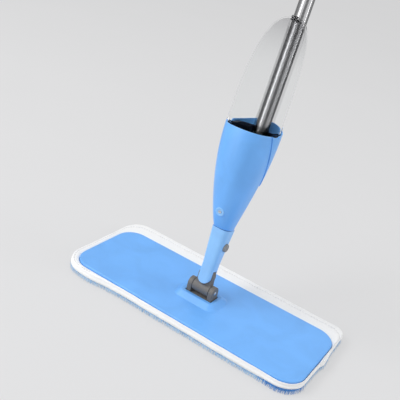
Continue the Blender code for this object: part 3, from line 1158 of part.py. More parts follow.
def grip_cutters():
    """Spaces inside the grip: pole, trigger pocket, two hollows, the pin, the screws and the end cap."""
    z = TRIGGER_HEIGHT
    half = TRIGGER_THICK / 2 + POCKET_GAP
    ledge = POLE_TOP + SEAT_GAP
    back = POLE_OFFSET + ROD_HEAD_RADIUS + CUT_PAST
    mouth, chin = TRIGGER_Y - POCKET_MOUTH, z - POCKET_CHIN
    brow, front = POLE_OFFSET - POCKET_BROW, TRIGGER_Y - POCKET_FRONT
    slot_top, arm_top = z + POCKET_SLOT_RISE, z + POCKET_ARM_RISE
    pocket = [(back, ledge), (mouth, ledge), (mouth, chin), (front, chin), (front, slot_top),
              (brow, slot_top), (brow, arm_top), (back, arm_top)]
    low = GRIP_LOW - CUT_PAST
    yield cylinder("grip_pole_bore", (0, POLE_OFFSET, low), (0, POLE_OFFSET, ledge + POCKET_GAP),
                   POLE_RADIUS + SEAT_GAP)
    yield prism("grip_pocket", pocket, "X", -half, half)
    for number, (bottom, top) in enumerate(GRIP_CAVITY_RISES, 1):
        yield cylinder(f"grip_hollow_{number}", (0, POLE_OFFSET, z + bottom),
                       (0, POLE_OFFSET, z + top), GRIP_CAVITY_RADIUS)
    reach = TRIGGER_PIN_LENGTH / 2 + SEAT_GAP
    yield cylinder("grip_pin_hole", (-reach, TRIGGER_Y, z), (reach, TRIGGER_Y, z),
                   TRIGGER_PIN_RADIUS + SEAT_GAP, SMALL_SIDES)
    for number, rise in enumerate(GRIP_SCREW_RISES, 1):
        height = TRIGGER_HEIGHT + rise
        yield cylinder(f"grip_screw_bore_{number}", (-GRIP_SCREW_REACH - SEAT_GAP, POLE_OFFSET, height),
                       (GRIP_SCREW_SEAT + CUT_PAST, POLE_OFFSET, height), SCREW_HOLE, SMALL_SIDES)
        yield cylinder(f"grip_screw_seat_{number}", (GRIP_SCREW_SEAT - SEAT_GAP, POLE_OFFSET, height),
                       (4 * GRIP_SCREW_SEAT, POLE_OFFSET, height), SCREW_HEAD_RADIUS + SEAT_GAP,
                       SMALL_SIDES)
    yield cylinder("grip_cap_socket", (0, POLE_OFFSET, GRIP_TOP - CAP_SPIGOT_LENGTH - SEAT_GAP),
                   (0, POLE_OFFSET, GRIP_TOP + CUT_PAST), CAP_SPIGOT_RADIUS + SEAT_GAP)


def grip_body(name):
    """Whole grip before it is split: a waisted bar with a knuckle round the trigger's pivot."""
    rings = []
    for rise, half, front, back in GRIP_STATIONS:
        rings.append(egg_ring(half, POLE_OFFSET - front, POLE_OFFSET + back, POLE_OFFSET,
                              TRIGGER_HEIGHT + rise, sides=ROUND_SIDES))
    return loft(name, rings)


def make_grip():
    """Grip in two halves, screwed together from the right."""
    root = POLE_OFFSET - KNUCKLE_BACK
    outline = [(root, TRIGGER_HEIGHT - KNUCKLE_FOOT)]
    outline += [(TRIGGER_Y + a, TRIGGER_HEIGHT + b) for a, b in KNUCKLE_FACE]
    outline.append((root, TRIGGER_HEIGHT + KNUCKLE_TOP))
    knuckle = prism("grip_knuckle", outline, "X", -KNUCKLE_HALF, KNUCKLE_HALF)
    round_edges(knuckle, KNUCKLE_ROUND, 2)
    spaces = list(grip_cutters())
    far = 5 * KNUCKLE_HALF
    low, high = GRIP_LOW - far, GRIP_TOP + far
    for name, side in (("grip_left", -1), ("grip_right", 1)):
        half = grip_body(name)
        join(half, knuckle, HANDLE)
        ends = sorted((side * SPLIT_HALF_GAP, side * far))
        trim(half, box(name + "_side", (ends[0], -far, low), (ends[1], far, high)), HANDLE)
        for space in spaces:
            cut(half, space, HANDLE)
        part(half, HANDLE, BLUE_PLASTIC)
    for number, rise in enumerate(GRIP_SCREW_RISES, 1):
        height = TRIGGER_HEIGHT + rise
        screw(f"grip_screw_{number}", (GRIP_SCREW_SEAT, POLE_OFFSET, height), (-1, 0, 0),
              GRIP_SCREW_SEAT + GRIP_SCREW_REACH, HANDLE)


def make_hang_cap():
    """End cap with the hanging eye, plugged into the top of the grip."""
    foot = GRIP_TOP + SEAT_GAP
    eye = foot + EYE_RISE
    outline = [(POLE_OFFSET - EYE_OUTER, foot), (POLE_OFFSET + EYE_OUTER, foot)]
    outline += arc(POLE_OFFSET, eye, EYE_OUTER, 0, 180, 16)
    cap = prism("hang_cap", outline, "X", -EYE_HALF_THICK, EYE_HALF_THICK)
    round_edges(cap, EYE_HALF_THICK / 3, 2)
    join(cap, cylinder("cap_spigot", (0, POLE_OFFSET, GRIP_TOP - CAP_SPIGOT_LENGTH),
                       (0, POLE_OFFSET, foot + CUT_PAST),
                       CAP_SPIGOT_RADIUS), HANDLE)
    cut(cap, cylinder("eye_hole", (-2 * EYE_HALF_THICK, POLE_OFFSET, eye),
                      (2 * EYE_HALF_THICK, POLE_OFFSET, eye), EYE_HOLE), HANDLE)
    part(cap, HANDLE, GREY_PLASTIC)


make_pad()
make_plate()
make_bracket()
make_yoke()
make_neck()
make_neck_button()
make_housing()
make_nozzle()
make_seat()
make_pump()
make_bottle()
make_pole()
make_push_rod()
make_trigger()
make_grip()
make_hang_cap()
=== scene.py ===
"""Looks of a flat spray mop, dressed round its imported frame.

The file follows the mop as it is put together: pad, plate, universal joint, neck, tank housing, bottle,
pole, trigger and grip, and then the studio. Lengths are in metres. Sizes up the handle are measured along
the handle's own axes, from the pitch pin: x across, y to the back, z up the handle.
"""
import json
import math

import bmesh
import bpy
import numpy as np
from mathutils import Matrix, Vector


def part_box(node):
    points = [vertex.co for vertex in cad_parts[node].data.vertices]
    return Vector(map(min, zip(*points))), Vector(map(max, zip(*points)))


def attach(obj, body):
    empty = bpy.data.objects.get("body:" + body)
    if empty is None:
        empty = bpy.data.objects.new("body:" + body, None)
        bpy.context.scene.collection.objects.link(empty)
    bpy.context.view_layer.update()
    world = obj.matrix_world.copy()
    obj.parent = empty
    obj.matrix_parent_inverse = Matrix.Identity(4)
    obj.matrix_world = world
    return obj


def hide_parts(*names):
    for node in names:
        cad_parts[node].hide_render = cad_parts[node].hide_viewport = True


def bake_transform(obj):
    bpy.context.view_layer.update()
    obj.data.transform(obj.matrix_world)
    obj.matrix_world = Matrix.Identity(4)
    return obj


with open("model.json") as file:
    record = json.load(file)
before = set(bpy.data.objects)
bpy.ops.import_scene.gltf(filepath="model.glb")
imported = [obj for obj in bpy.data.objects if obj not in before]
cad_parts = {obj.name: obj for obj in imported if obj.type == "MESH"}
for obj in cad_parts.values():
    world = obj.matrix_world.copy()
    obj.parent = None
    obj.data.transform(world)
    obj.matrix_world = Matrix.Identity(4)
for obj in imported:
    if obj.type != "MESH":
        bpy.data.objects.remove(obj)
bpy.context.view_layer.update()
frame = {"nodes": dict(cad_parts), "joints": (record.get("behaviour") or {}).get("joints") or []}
nodes = frame["nodes"]
joints = {joint["name"]: joint for joint in frame["joints"]}
MM = 0.001

# Camera
# It stands off the right front corner of the head and looks down at the mop's foot, so that the handle
# leaves through the top of the picture. It is turned a little about its own axis.
azimuth, elevation, camera_roll = np.radians((29.05, 26.10, 11.71))
camera_aim = np.array((-186.0, 277.5, -1.5)) * MM
camera_distance = 1163.9 * MM
look_back = np.array((math.sin(azimuth) * math.cos(elevation),
                      -math.cos(azimuth) * math.cos(elevation), math.sin(elevation)))
level_right = np.array((math.cos(azimuth), math.sin(azimuth), 0.0))
level_up = np.cross(look_back, level_right)
picture_right = math.cos(camera_roll) * level_right + math.sin(camera_roll) * level_up
picture_up = np.cross(look_back, picture_right)
camera_data = bpy.data.cameras.new("camera")
camera_data.lens = 56.29
camera_data.sensor_width = 36.0
camera = bpy.data.objects.new("camera", camera_data)
bpy.context.scene.collection.objects.link(camera)
stand = np.eye(4)
camera_place = camera_aim + camera_distance * look_back
stand[:3, :] = np.stack([picture_right, picture_up, look_back, camera_place], axis=1)
camera.matrix_world = Matrix(stand.tolist())
bpy.context.scene.camera = camera


# Pad pile
# The wiping face of the pad: short blue microfibre loops, tufted in staggered rows on a knitted ground. It
# lies on the floor and stands out a little past the white backing that it is sewn to.
def new_material(name):
    """An empty node material: the material, its tree and its Principled shader."""
    material = bpy.data.materials.new(name)
    material.use_nodes = True
    return material, material.node_tree, material.node_tree.nodes["Principled BSDF"]


def add_node(tree, kind, inputs, **settings):
    """Adds a node. An input that is a socket is linked, and any other value is set."""
    made = tree.nodes.new(kind)
    for name, value in settings.items():
        setattr(made, name, value)
    for name, value in inputs.items():
        if isinstance(value, bpy.types.NodeSocket):
            tree.links.new(value, made.inputs[name])
        else:
            made.inputs[name].default_value = value
    return made


def object_coordinates(tree, scale=(1, 1, 1), turn=(0, 0, 0)):
    """Object coordinates, turned and then stretched."""
    place = tree.nodes.new("ShaderNodeTexCoord").outputs["Object"]
    turned_place = add_node(tree, "ShaderNodeMapping", {"Vector": place, "Rotation": turn})
    stretched = add_node(tree, "ShaderNodeMapping",
                         {"Vector": turned_place.outputs["Vector"], "Scale": scale})
    return stretched.outputs["Vector"]


def two_tones(tree, factor, low, high, start=0.0, end=1.0):
    """Colour that runs from one tone to another as the factor goes from start to end."""
    ramp = add_node(tree, "ShaderNodeValToRGB", {"Fac": factor})
    ramp.color_ramp.elements[0].position = start
    ramp.color_ramp.elements[1].position = end
    ramp.color_ramp.elements[0].color = (*low, 1.0)
    ramp.color_ramp.elements[1].color = (*high, 1.0)
    return ramp.outputs["Color"]


def between(tree, factor, low, high):
    """Number that runs from low to high as the factor goes from 0 to 1."""
    spread = add_node(tree, "ShaderNodeMapRange", {"Value": factor, "To Min": low, "To Max": high})
    return spread.outputs["Result"]


def bump(tree, shader, height, distance, strength=1.0):
    """Gives the shader a surface relief from a height between 0 and 1."""
    relief = add_node(tree, "ShaderNodeBump", {"Height": height, "Distance": distance, "Strength": strength})
    tree.links.new(relief.outputs["Normal"], shader.inputs["Normal"])


def pile_material(name, dark, bright):
    """Microfibre: tones that change from tuft to tuft, fine fibre streaks, and sheen."""
    material, tree, shader = new_material(name)
    place = object_coordinates(tree)
    patches = add_node(tree, "ShaderNodeTexNoise", {"Vector": place, "Scale": 160.0, "Detail": 3.0})
    fibres = add_node(tree, "ShaderNodeTexNoise", {"Vector": place, "Scale": 1900.0, "Detail": 4.0})
    mixed = add_node(tree, "ShaderNodeMath", {0: patches.outputs["Fac"], 1: fibres.outputs["Fac"]})
    tone = two_tones(tree, between(tree, mixed.outputs["Value"], 0.0, 0.5), dark, bright, 0.32, 0.7)
    tree.links.new(tone, shader.inputs["Base Color"])
    bump(tree, shader, fibres.outputs["Fac"], 0.5 * MM)
    shader.inputs["Roughness"].default_value = 0.95
    shader.inputs["Sheen Weight"].default_value = 0.5
    shader.inputs["Sheen Roughness"].default_value = 0.4
    return material


def shell(points, wrap=True, caps=True):
    """Faces over a grid of points, row by row. Wrap closes each row into a ring, caps fill the end rings."""
    rows, columns = points.shape[:2]
    index = np.arange(rows * columns).reshape(rows, columns)
    here = index if wrap else index[:, :-1]
    ahead = np.roll(index, -1, axis=1) if wrap else index[:, 1:]
    quads = np.stack([here[:-1], ahead[:-1], ahead[1:], here[1:]], axis=-1).reshape(-1, 4).tolist()
    ends = [index[0, ::-1].tolist(), index[-1].tolist()] if caps else []
    return points.reshape(-1, 3), quads + ends


def add_piece(name, body, material, shells, replaced=(), crease=40):
    """Joins shells into one object, welded and smooth up to the crease angle.

    It rides on a body, if one is named.
    """
    starts = np.cumsum([0] + [len(points) for points, _ in shells])
    points = np.concatenate([points for points, _ in shells])
    faces = [[corner + start for corner in face] for start, (_, made) in zip(starts, shells) for face in made]
    mesh = bpy.data.meshes.new(name)
    mesh.from_pydata(points.tolist(), [], faces)
    welded = bmesh.new()
    welded.from_mesh(mesh)
    bmesh.ops.remove_doubles(welded, verts=welded.verts, dist=0.001 * MM)
    bmesh.ops.recalc_face_normals(welded, faces=welded.faces)
    welded.to_mesh(mesh)
    welded.free()
    mesh.shade_smooth()
    mesh.set_sharp_from_angle(angle=math.radians(crease))
    mesh.materials.append(material)
    made = bpy.data.objects.new(name, mesh)
    bpy.context.scene.collection.objects.link(made)
    if body:
        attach(made, body)
    if replaced:
        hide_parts(*replaced)
    return made


pad_half = np.array((191.0, 79.0)) * MM
pad_corners = np.array(((182, -66.8), (180.5, 94.5), (-191.5, 97.5), (-192.5, -67.8))) * MM
pad_corner_radii = np.array((29, 15, 26, 30)) * MM
pile_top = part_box("pad_pile")[1].z


def lie_on_plate(x, y):
    """Where a point of the cut pad lies: its four corners are pulled to pad_corners, the rest goes along."""
    s, t = x / pad_half[0], y / pad_half[1]
    shares = np.stack([(1 + s) * (1 - t), (1 + s) * (1 + t), (1 - s) * (1 + t), (1 - s) * (1 - t)]) / 4
    return np.tensordot(shares, pad_corners, axes=(0, 0))


def rounded_outline(half_x, half_y, radii, arc_steps=10, short_steps=16, long_steps=44):
    """Outline of a rectangle with round corners, counter-clockwise from the front of the right end.

    A corner is a quarter circle about a centre one radius in from both sides; a straight run between two
    corners is split evenly.
    """
    radii = np.broadcast_to(radii, 4)
    signs = np.array(((1, -1), (1, 1), (-1, 1), (-1, -1)))
    centres = signs * (np.array((half_x, half_y)) - radii[:, None])
    turns = np.radians(np.arange(-90, 270, 90))[:, None] + np.linspace(0, math.pi / 2, arc_steps + 1)
    arcs = centres[:, None] + radii[:, None, None] * np.stack([np.cos(turns), np.sin(turns)], axis=-1)
    runs = []
    for corner, steps in enumerate((short_steps, long_steps, short_steps, long_steps)):
        share = np.linspace(0, 1, steps + 1)[1:-1, None]
        straight = arcs[corner, -1] + share * (arcs[(corner + 1) % 4, 0] - arcs[corner, -1])
        runs += [arcs[corner], straight]
    return np.concatenate(runs)


def rise(share):
    """Smooth step from 0 to 1: three squares less two cubes."""
    share = np.clip(share, 0, 1)
    return share ** 2 * (3 - 2 * share)


def outward_ways(outline):
    """Unit ways out of a counter-clockwise outline, each square to the line between its two neighbours."""
    along = np.roll(outline, -1, axis=0) - np.roll(outline, 1, axis=0)
    along = along / np.linalg.norm(along, axis=1)[:, None]
    return np.stack([along[:, 1], -along[:, 0]], axis=1)


def pad_ring(grow):
    """Outline of the pad, grown by a margin: the cut rectangle, laid on the plate, with a slack edge.

    The slack is a sum of three sines. The front edge sags on a bell towards its left end, and a small fold
    stands out of the right end, steep on its front side.
    """
    outline = rounded_outline(*(pad_half + grow), pad_corner_radii + grow)
    count = np.linspace(0, math.tau, len(outline), endpoint=False)
    laid = lie_on_plate(outline[:, 0], outline[:, 1])
    x, y = laid.T
    is_front, is_right = y < -40 * MM, x > 160 * MM
    waves = np.sin(11 * count) + 0.7 * np.sin(23 * count + 1.0) + 0.5 * np.sin(41 * count + 2.0)
    slack = 0.22 * MM * waves
    sag = 4.8 * MM * np.exp(-((x + 146 * MM) / (34 * MM)) ** 2) * is_front
    fold_start = rise((y - 5 * MM) / (5 * MM))
    fold = 3.2 * MM * fold_start * np.exp(-((y - 10 * MM) / (22 * MM)) ** 2) * is_right
    return laid + outward_ways(laid) * (slack + sag + fold)[:, None]


def pile_faces():
    """The pile as an upper and a lower sheet that meet at the edge.

    Each row runs the pad's length at that y, which is shorter where the corners are round. The lower sheet
    is a field of tufts: a squared cosine along x times one along y, shifted by half a tuft in every other
    row.
    """
    grow = -2.5 * MM
    tuft, tuft_depth = 5.2 * MM, 1.5 * MM
    edge_height = 2.2 * MM
    half_x, half_y = pad_half + grow
    y = np.linspace(-half_y, half_y, 104)[:, None]
    u = np.linspace(-1, 1, 246)[None, :]
    near, far = pad_corner_radii[[3, 0]] + grow, pad_corner_radii[[2, 1]] + grow
    radii = np.where(y < 0, near, far)
    past = np.clip(np.abs(y) - (half_y - radii), 0, radii)
    lengths = half_x - radii + np.sqrt(radii ** 2 - past ** 2)
    x = np.where(u < 0, u * lengths[:, :1], u * lengths[:, 1:])
    row_end = np.where(u < 0, lengths[:, :1], lengths[:, 1:])
    inside = np.minimum(row_end - np.abs(x), half_y - np.abs(y))
    row = np.round(y / tuft)
    tufts = (np.cos(math.pi * (x / tuft + row / 2)) * np.cos(math.pi * (y / tuft - row))) ** 2
    drift = 0.25 * MM * (np.sin(x / (9 * MM)) * np.sin(y / (7 * MM)) + 1)
    field = rise(inside / (3 * MM)) * (tuft_depth * (1 - tufts) + drift)
    lower = edge_height * (1 - rise(inside / (4 * MM))) + field
    upper = edge_height + (pile_top - edge_height) * rise(inside / (2.5 * MM))
    plan = lie_on_plate(x, np.broadcast_to(y, x.shape))
    return [np.dstack([plan, lower])[:, ::-1], np.dstack([plan, upper])]


pile_blue = pile_material("microfibre_pile", (0.012, 0.13, 0.52), (0.10, 0.42, 0.92))
pad_pile = add_piece("pile", "head", pile_blue,
                     [shell(sheet, wrap=False, caps=False) for sheet in pile_faces()], ["pad_pile"])


# Pad fringe
# Ends of the pile's outer loops that hang down below the white hem, worn pale. At the right front corner the
# hem has ridden up, and deeper, bluer tufts show.
hem_lift = 2.3 * MM


def ridden_up(plan):
    """How far the hem has ridden up, from 0 to 1: a bell about the middle of the right front corner."""
    middle = pad_corners[0] + np.array((-17, 7)) * MM
    return np.exp(-(np.linalg.norm(plan - middle, axis=-1) / (27 * MM)) ** 2)


def fringe_strands(count, steps=4, sides=6):
    """Tapered strands round the pad, and which of them are deep tufts.

    A strand leaves the edge outward, leans along it, and drops with the square of the way gone. Its radius
    falls evenly to a quarter at the tip. Length, lean and place are seeded random numbers.
    """
    chance = np.random.default_rng(11)
    outline = pad_ring(-1.2 * MM)
    gaps = np.linalg.norm(np.roll(outline, -1, axis=0) - outline, axis=1)
    along = np.concatenate([[0], np.cumsum(gaps)])
    spots = np.linspace(0, along[-1], count, endpoint=False) + chance.uniform(-0.5, 0.5, count) * MM
    loop = np.concatenate([outline, outline[:1]])
    root = np.stack([np.interp(spots, along, loop[:, axis]) for axis in (0, 1)], axis=1)
    onward = np.stack([np.interp(spots + MM, along, loop[:, axis]) for axis in (0, 1)], axis=1)
    tangent = onward - root
    tangent = tangent / np.maximum(np.linalg.norm(tangent, axis=1), 1e-9)[:, None]
    outward = np.stack([tangent[:, 1], -tangent[:, 0]], axis=1)
    reach = chance.uniform(1.0, 3.0, count) * MM
    lean = chance.uniform(-0.8, 0.8, count)
    start = chance.uniform(4.6, 5.5, count) * MM + hem_lift * ridden_up(root)
    t = np.linspace(0, 1, steps)[None, :, None]
    leaning = (lean[:, None] * tangent)[:, None] * t ** 2
    plan = root[:, None] + reach[:, None, None] * (outward[:, None] * t + leaning)
    height = start[:, None] - (start - 0.7 * MM)[:, None] * np.linspace(0, 1, steps)[None] ** 2
    radius = chance.uniform(0.45, 0.75, count)[:, None] * MM * np.linspace(1, 0.25, steps)[None]
    turn = np.linspace(0, math.tau, sides, endpoint=False)
    around = tangent[:, None, None, :] * np.cos(turn)[None, None, :, None]
    ring_plan = plan[:, :, None] + radius[:, :, None, None] * around
    ring_z = height[:, :, None] + radius[:, :, None] * np.sin(turn)[None, None]
    strands = np.concatenate([ring_plan, ring_z[..., None]], axis=-1)
    return strands, ridden_up(root) + chance.uniform(-0.25, 0.25, count) > 0.4


strand_count = 1500
strands, is_deep = fringe_strands(strand_count)
fringe_pale = pile_material("worn_strands", (0.28, 0.51, 0.80), (0.55, 0.76, 0.97))
fringe_blue = pile_material("deep_strands", (0.03, 0.19, 0.60), (0.16, 0.43, 0.88))
add_piece("fringe", "head", fringe_pale,
          [shell(strand) for strand in strands[~is_deep]], crease=80)
add_piece("corner_tufts", "head", fringe_blue,
          [shell(strand) for strand in strands[is_deep]], crease=80)


# Pad backing
# White woven polyester, folded up round the plate into a soft hem and sewn down with one row of stitches. It
# lies further back than the plate, so the hem is broad at the back and little more than an edge in front.
plate_half = np.array((180.0, 65.0)) * MM
plate_corner = 27.0 * MM
backing_low, backing_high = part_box("pad_backing")[0].z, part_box("pad_backing")[1].z


def plate_ring(grow):
    """Outline of the plate, grown by a margin, with as many points as the pad's outline."""
    return rounded_outline(*(plate_half + grow), plate_corner + grow)


hem_inner, hem_outer = plate_ring(0.6 * MM), pad_ring(0.0)
hem_width = np.linalg.norm(hem_outer - hem_inner, axis=1)
hem_broad = rise((hem_width - 6 * MM) / (8 * MM))
stitch_line = 0.66


def hem_height(way, broad):
    """Height of the hem's top from the plate's edge, way 0, to the pad's edge, way 1.

    A low crown, a half sine, is pressed down along the stitches by a narrow bell where the hem is broad.
    """
    crown = 1.4 * MM * np.sin(math.pi * np.clip(way, 0, 1)) ** 0.6
    pinch = 0.7 * MM * np.exp(-((way - stitch_line) / 0.07) ** 2)
    return backing_high - 1.8 * MM + crown - broad * pinch


def backing_rings():
    """Rings of the backing: bed under the plate, up its edge, over the hem, down round the pile, under."""
    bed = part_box("hook_strip_front")[0].z - 0.3 * MM
    round_edge = 0.9 + 0.1 * np.sin(np.linspace(0, math.pi / 2, 6)[1:])
    way = np.concatenate([np.linspace(0, 0.9, 22), round_edge])
    count = np.linspace(0, math.tau, len(hem_inner), endpoint=False)
    pucker = 0.22 * MM * np.sin(150 * count) * np.sin(37 * count + 0.6)
    plan = hem_inner + way[:, None, None] * (hem_outer - hem_inner)
    height = hem_height(way[:, None], hem_broad[None]) + np.sin(math.pi * way)[:, None] * pucker
    edge_drop = np.clip((way - 0.9) / 0.1, 0, 1)
    height = height - (2.4 * MM * (1 - np.sqrt(1 - edge_drop ** 2)))[:, None]
    top = np.dstack([plan, height])
    outward = outward_ways(hem_outer)
    foot = 6.1 * MM + hem_lift * ridden_up(hem_outer)
    down = np.linspace(0.12, 1, 8)[:, None]
    belly = 0.8 * MM * np.sin(math.pi * down)
    side = np.dstack([hem_outer + belly[..., None] * outward, height[-1] + (foot - height[-1]) * down])
    lip_plan = hem_outer - np.array((1.4, 2.0, 2.4))[:, None, None] * MM * outward
    lip_rise = np.array((0.0, 0.25, 1.0))[:, None]
    lip = np.dstack([lip_plan, foot - 0.2 * MM + (backing_low - foot + 0.2 * MM) * lip_rise])
    under = np.array((0.9, 0.5, 0.0))[:, None, None] * hem_outer
    under = np.dstack([under, np.full(under.shape[:2], backing_low)])
    floor = np.array((0.0, 0.5, 0.9, 1.0))[:, None, None] * hem_inner
    floor = np.dstack([floor, np.full(floor.shape[:2], bed)])
    return np.concatenate([floor, top, side, lip, under])


def woven_material(name, thread, gap, pitch):
    """Plain weave: two crossed waves of threads, with slubs, slight stains and a soft sheen."""
    material, tree, shader = new_material(name)
    place = object_coordinates(tree)
    unit_pitch = 0.31831
    thread_wave = {"Vector": place, "Scale": unit_pitch / pitch, "Distortion": 0.6,
                   "Detail": 2.0, "Detail Scale": 0.4}
    ways = [add_node(tree, "ShaderNodeTexWave", thread_wave, bands_direction=axis) for axis in ("X", "Y")]
    weave = add_node(tree, "ShaderNodeMath", {0: ways[0].outputs["Fac"], 1: ways[1].outputs["Fac"]},
                     operation="MULTIPLY")
    slubs = add_node(tree, "ShaderNodeTexNoise", {"Vector": place, "Scale": 90.0, "Detail": 5.0})
    mixed = add_node(tree, "ShaderNodeMath", {0: weave.outputs["Value"], 1: slubs.outputs["Fac"]})
    tone = two_tones(tree, between(tree, mixed.outputs["Value"], 0.0, 0.55), gap, thread, 0.1, 0.75)
    tree.links.new(tone, shader.inputs["Base Color"])
    bump(tree, shader, mixed.outputs["Value"], 0.25 * MM, 0.5)
    shader.inputs["Roughness"].default_value = 0.9
    shader.inputs["Sheen Weight"].default_value = 0.25
    return material


backing_white = woven_material("woven_backing", (0.975, 0.975, 0.975), (0.91, 0.915, 0.92), 1.1 * MM)
pad_backing = add_piece("backing", "head", backing_white,
                        [shell(backing_rings(), caps=False)], ["pad_backing"], crease=70)


# Hem stitches
# White thread in short running stitches along the hem, sunk in the groove that they pull. They stop where
# the hem is too narrow to sew.
def stitches():
    """Capsules laid end to end along the groove: each is a ring swept on a half sine, thin at both ends."""
    line = hem_inner + stitch_line * (hem_outer - hem_inner)
    height = hem_height(np.float64(stitch_line), hem_broad) + 0.15 * MM
    steps = np.linalg.norm(np.roll(line, -1, axis=0) - line, axis=1)
    along = np.concatenate([[0], np.cumsum(steps)])
    loop = np.column_stack([line, height, hem_broad])
    loop = np.concatenate([loop, loop[:1]])
    stitch_pitch, stitch_length = 4.4 * MM, 3.1 * MM
    starts = np.arange(0, along[-1] - 4 * MM, stitch_pitch)
    share = np.linspace(0, 1, 6)
    spots = starts[:, None] + stitch_length * share
    paths = np.stack([np.interp(spots, along, loop[:, axis]) for axis in range(4)], axis=-1)
    paths = paths[paths[:, :, 3].min(axis=1) > 0.8]
    tangent = np.gradient(paths[..., :2], axis=1)
    tangent = tangent / np.linalg.norm(tangent, axis=-1)[..., None]
    across = np.stack([tangent[..., 1], -tangent[..., 0]], axis=-1)
    turn = np.linspace(0, math.tau, 6, endpoint=False)
    radius = (0.42 * MM * np.sqrt(np.sin(math.pi * np.clip(share, 0.04, 0.96))))[None, :, None]
    plan = paths[:, :, None, :2] + (radius * np.cos(turn))[..., None] * across[:, :, None]
    rising = paths[:, :, None, 2] + radius * np.sin(turn)
    return [shell(stitch) for stitch in np.concatenate([plan, rising[..., None]], axis=-1)]


thread_white = woven_material("sewing_thread", (0.90, 0.90, 0.90), (0.6, 0.6, 0.62), 0.4 * MM)
add_piece("hem_stitches", "head", thread_white, stitches(), crease=80)


# Hook strips
# Two black nylon hook tapes, glued under the sole, one in its front half and one in its rear half. They grip
# the pad's woven backing and are out of sight under the plate.
def hook_material(name):
    """Hook tape: rows of small round dots on a dull ground."""
    material, tree, shader = new_material(name)
    place = object_coordinates(tree)
    hooks = add_node(tree, "ShaderNodeTexVoronoi", {"Vector": place, "Scale": 620.0, "Randomness": 0.25})
    tone = two_tones(tree, hooks.outputs["Distance"], (0.05, 0.05, 0.052), (0.012, 0.012, 0.013), 0.15, 0.5)
    tree.links.new(tone, shader.inputs["Base Color"])
    bump(tree, shader, hooks.outputs["Distance"], 0.6 * MM)
    shader.inputs["Roughness"].default_value = 0.8
    return material


def dress(material, *names):
    """Gives CAD nodes that stay in sight their finished material."""
    for name in names:
        nodes[name].material_slots[0].material = material


dress(hook_material("hook_tape"), "hook_strip_front", "hook_strip_rear")


# Base plate
# One blue polypropylene moulding: a flat plate with a rounded edge, a skirt below, and a raised boss with a
# pocket for the joint's bracket. The sole closes it from below.
plate_low, plate_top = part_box("base_plate")[0].z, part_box("plate_sole")[1].z + 2.7 * MM
boss_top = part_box("base_plate")[1].z
bracket_half = np.array((21.1, 9.3)) * MM


def plastic_material(name, colour, roughness, grain=1.0):
    """Moulded plastic: faint flow marks in the colour, a fine spark-eroded grain and light handling rubs."""
    material, tree, shader = new_material(name)
    place = object_coordinates(tree)
    flow = add_node(tree, "ShaderNodeTexNoise",
                    {"Vector": place, "Scale": 22.0, "Detail": 4.0, "Distortion": 0.8})
    low = tuple(0.93 * part for part in colour)
    high = tuple(min(1.0, 1.05 * part) for part in colour)
    tone = two_tones(tree, flow.outputs["Fac"], low, high, 0.3, 0.7)
    tree.links.new(tone, shader.inputs["Base Color"])
    rubbed_ways = object_coordinates(tree, (30, 260, 90), (0.3, 0.5, 0.4))
    rubs = add_node(tree, "ShaderNodeTexNoise",
                    {"Vector": rubbed_ways, "Scale": 1.0, "Detail": 6.0, "Roughness": 0.7})
    rubbed = between(tree, rubs.outputs["Fac"], roughness - 0.1, roughness + 0.12)
    tree.links.new(rubbed, shader.inputs["Roughness"])
    fine = add_node(tree, "ShaderNodeTexNoise", {"Vector": place, "Scale": 2600.0, "Detail": 2.0})
    bump(tree, shader, fine.outputs["Fac"], 0.06 * MM * grain, 0.5)
    return material


def plate_rings():
    """Rings of round-cornered rectangles: sole side, skirt, rounded edge, top face, boss and its pocket.

    The edge is a quarter circle, and the boss rises on a straight slope with a parabolic fillet at each end.
    """
    edge = 1.6 * MM
    turn = np.linspace(0, math.pi / 2, 7)
    foot, head = bracket_half + 13 * MM, bracket_half + 4.5 * MM
    fillet = 0.14
    climb = np.concatenate([np.linspace(0, fillet, 6), np.linspace(1 - fillet, 1, 6)])
    slope = 1 / (1 - fillet)
    low_fillet = slope * climb ** 2 / (2 * fillet)
    high_fillet = 1 - slope * (1 - climb) ** 2 / (2 * fillet)
    lift = np.where(climb < 0.5, low_fillet, high_fillet)
    pocket = bracket_half + 0.3 * MM
    inner, inner_corner, ceiling = plate_half - 3 * MM, 24 * MM, plate_low + 5 * MM
    rings = [(plate_half * 0.02, 1 * MM, ceiling), (inner, inner_corner, ceiling),
             (inner, inner_corner, plate_low), (plate_half - 0.4 * MM, plate_corner, plate_low),
             (plate_half, plate_corner, plate_low + 0.4 * MM)]
    rings += [(plate_half - edge * (1 - math.cos(t)), plate_corner - edge * (1 - math.cos(t)),
               plate_top - edge * (1 - math.sin(t))) for t in turn]
    rings += [(plate_half - 2.4 * MM, plate_corner - 2.4 * MM, plate_top)]
    rings += [(foot + (head - foot) * c + 1 * MM * (1 - c), 13 * MM - 8.5 * MM * c,
               plate_top + (boss_top - plate_top) * up) for c, up in zip(climb, lift)]
    rings += [(pocket + 0.6 * MM, 1.6 * MM, boss_top), (pocket + 0.15 * MM, 1.1 * MM, boss_top - 0.15 * MM),
              (pocket, 1 * MM, boss_top - 0.6 * MM), (pocket, 1 * MM, plate_top),
              (pocket * 0.02, 0.1 * MM, plate_top)]
    return np.stack([np.insert(rounded_outline(*half, radius), 2, height, axis=1)
                     for half, radius, height in rings])


plastic_blue = plastic_material("blue_moulding", (0.165, 0.455, 0.96), 0.36)
add_piece("plate", "head", plastic_blue, [shell(plate_rings())], ["base_plate"])
dress(plastic_blue, "plate_sole")


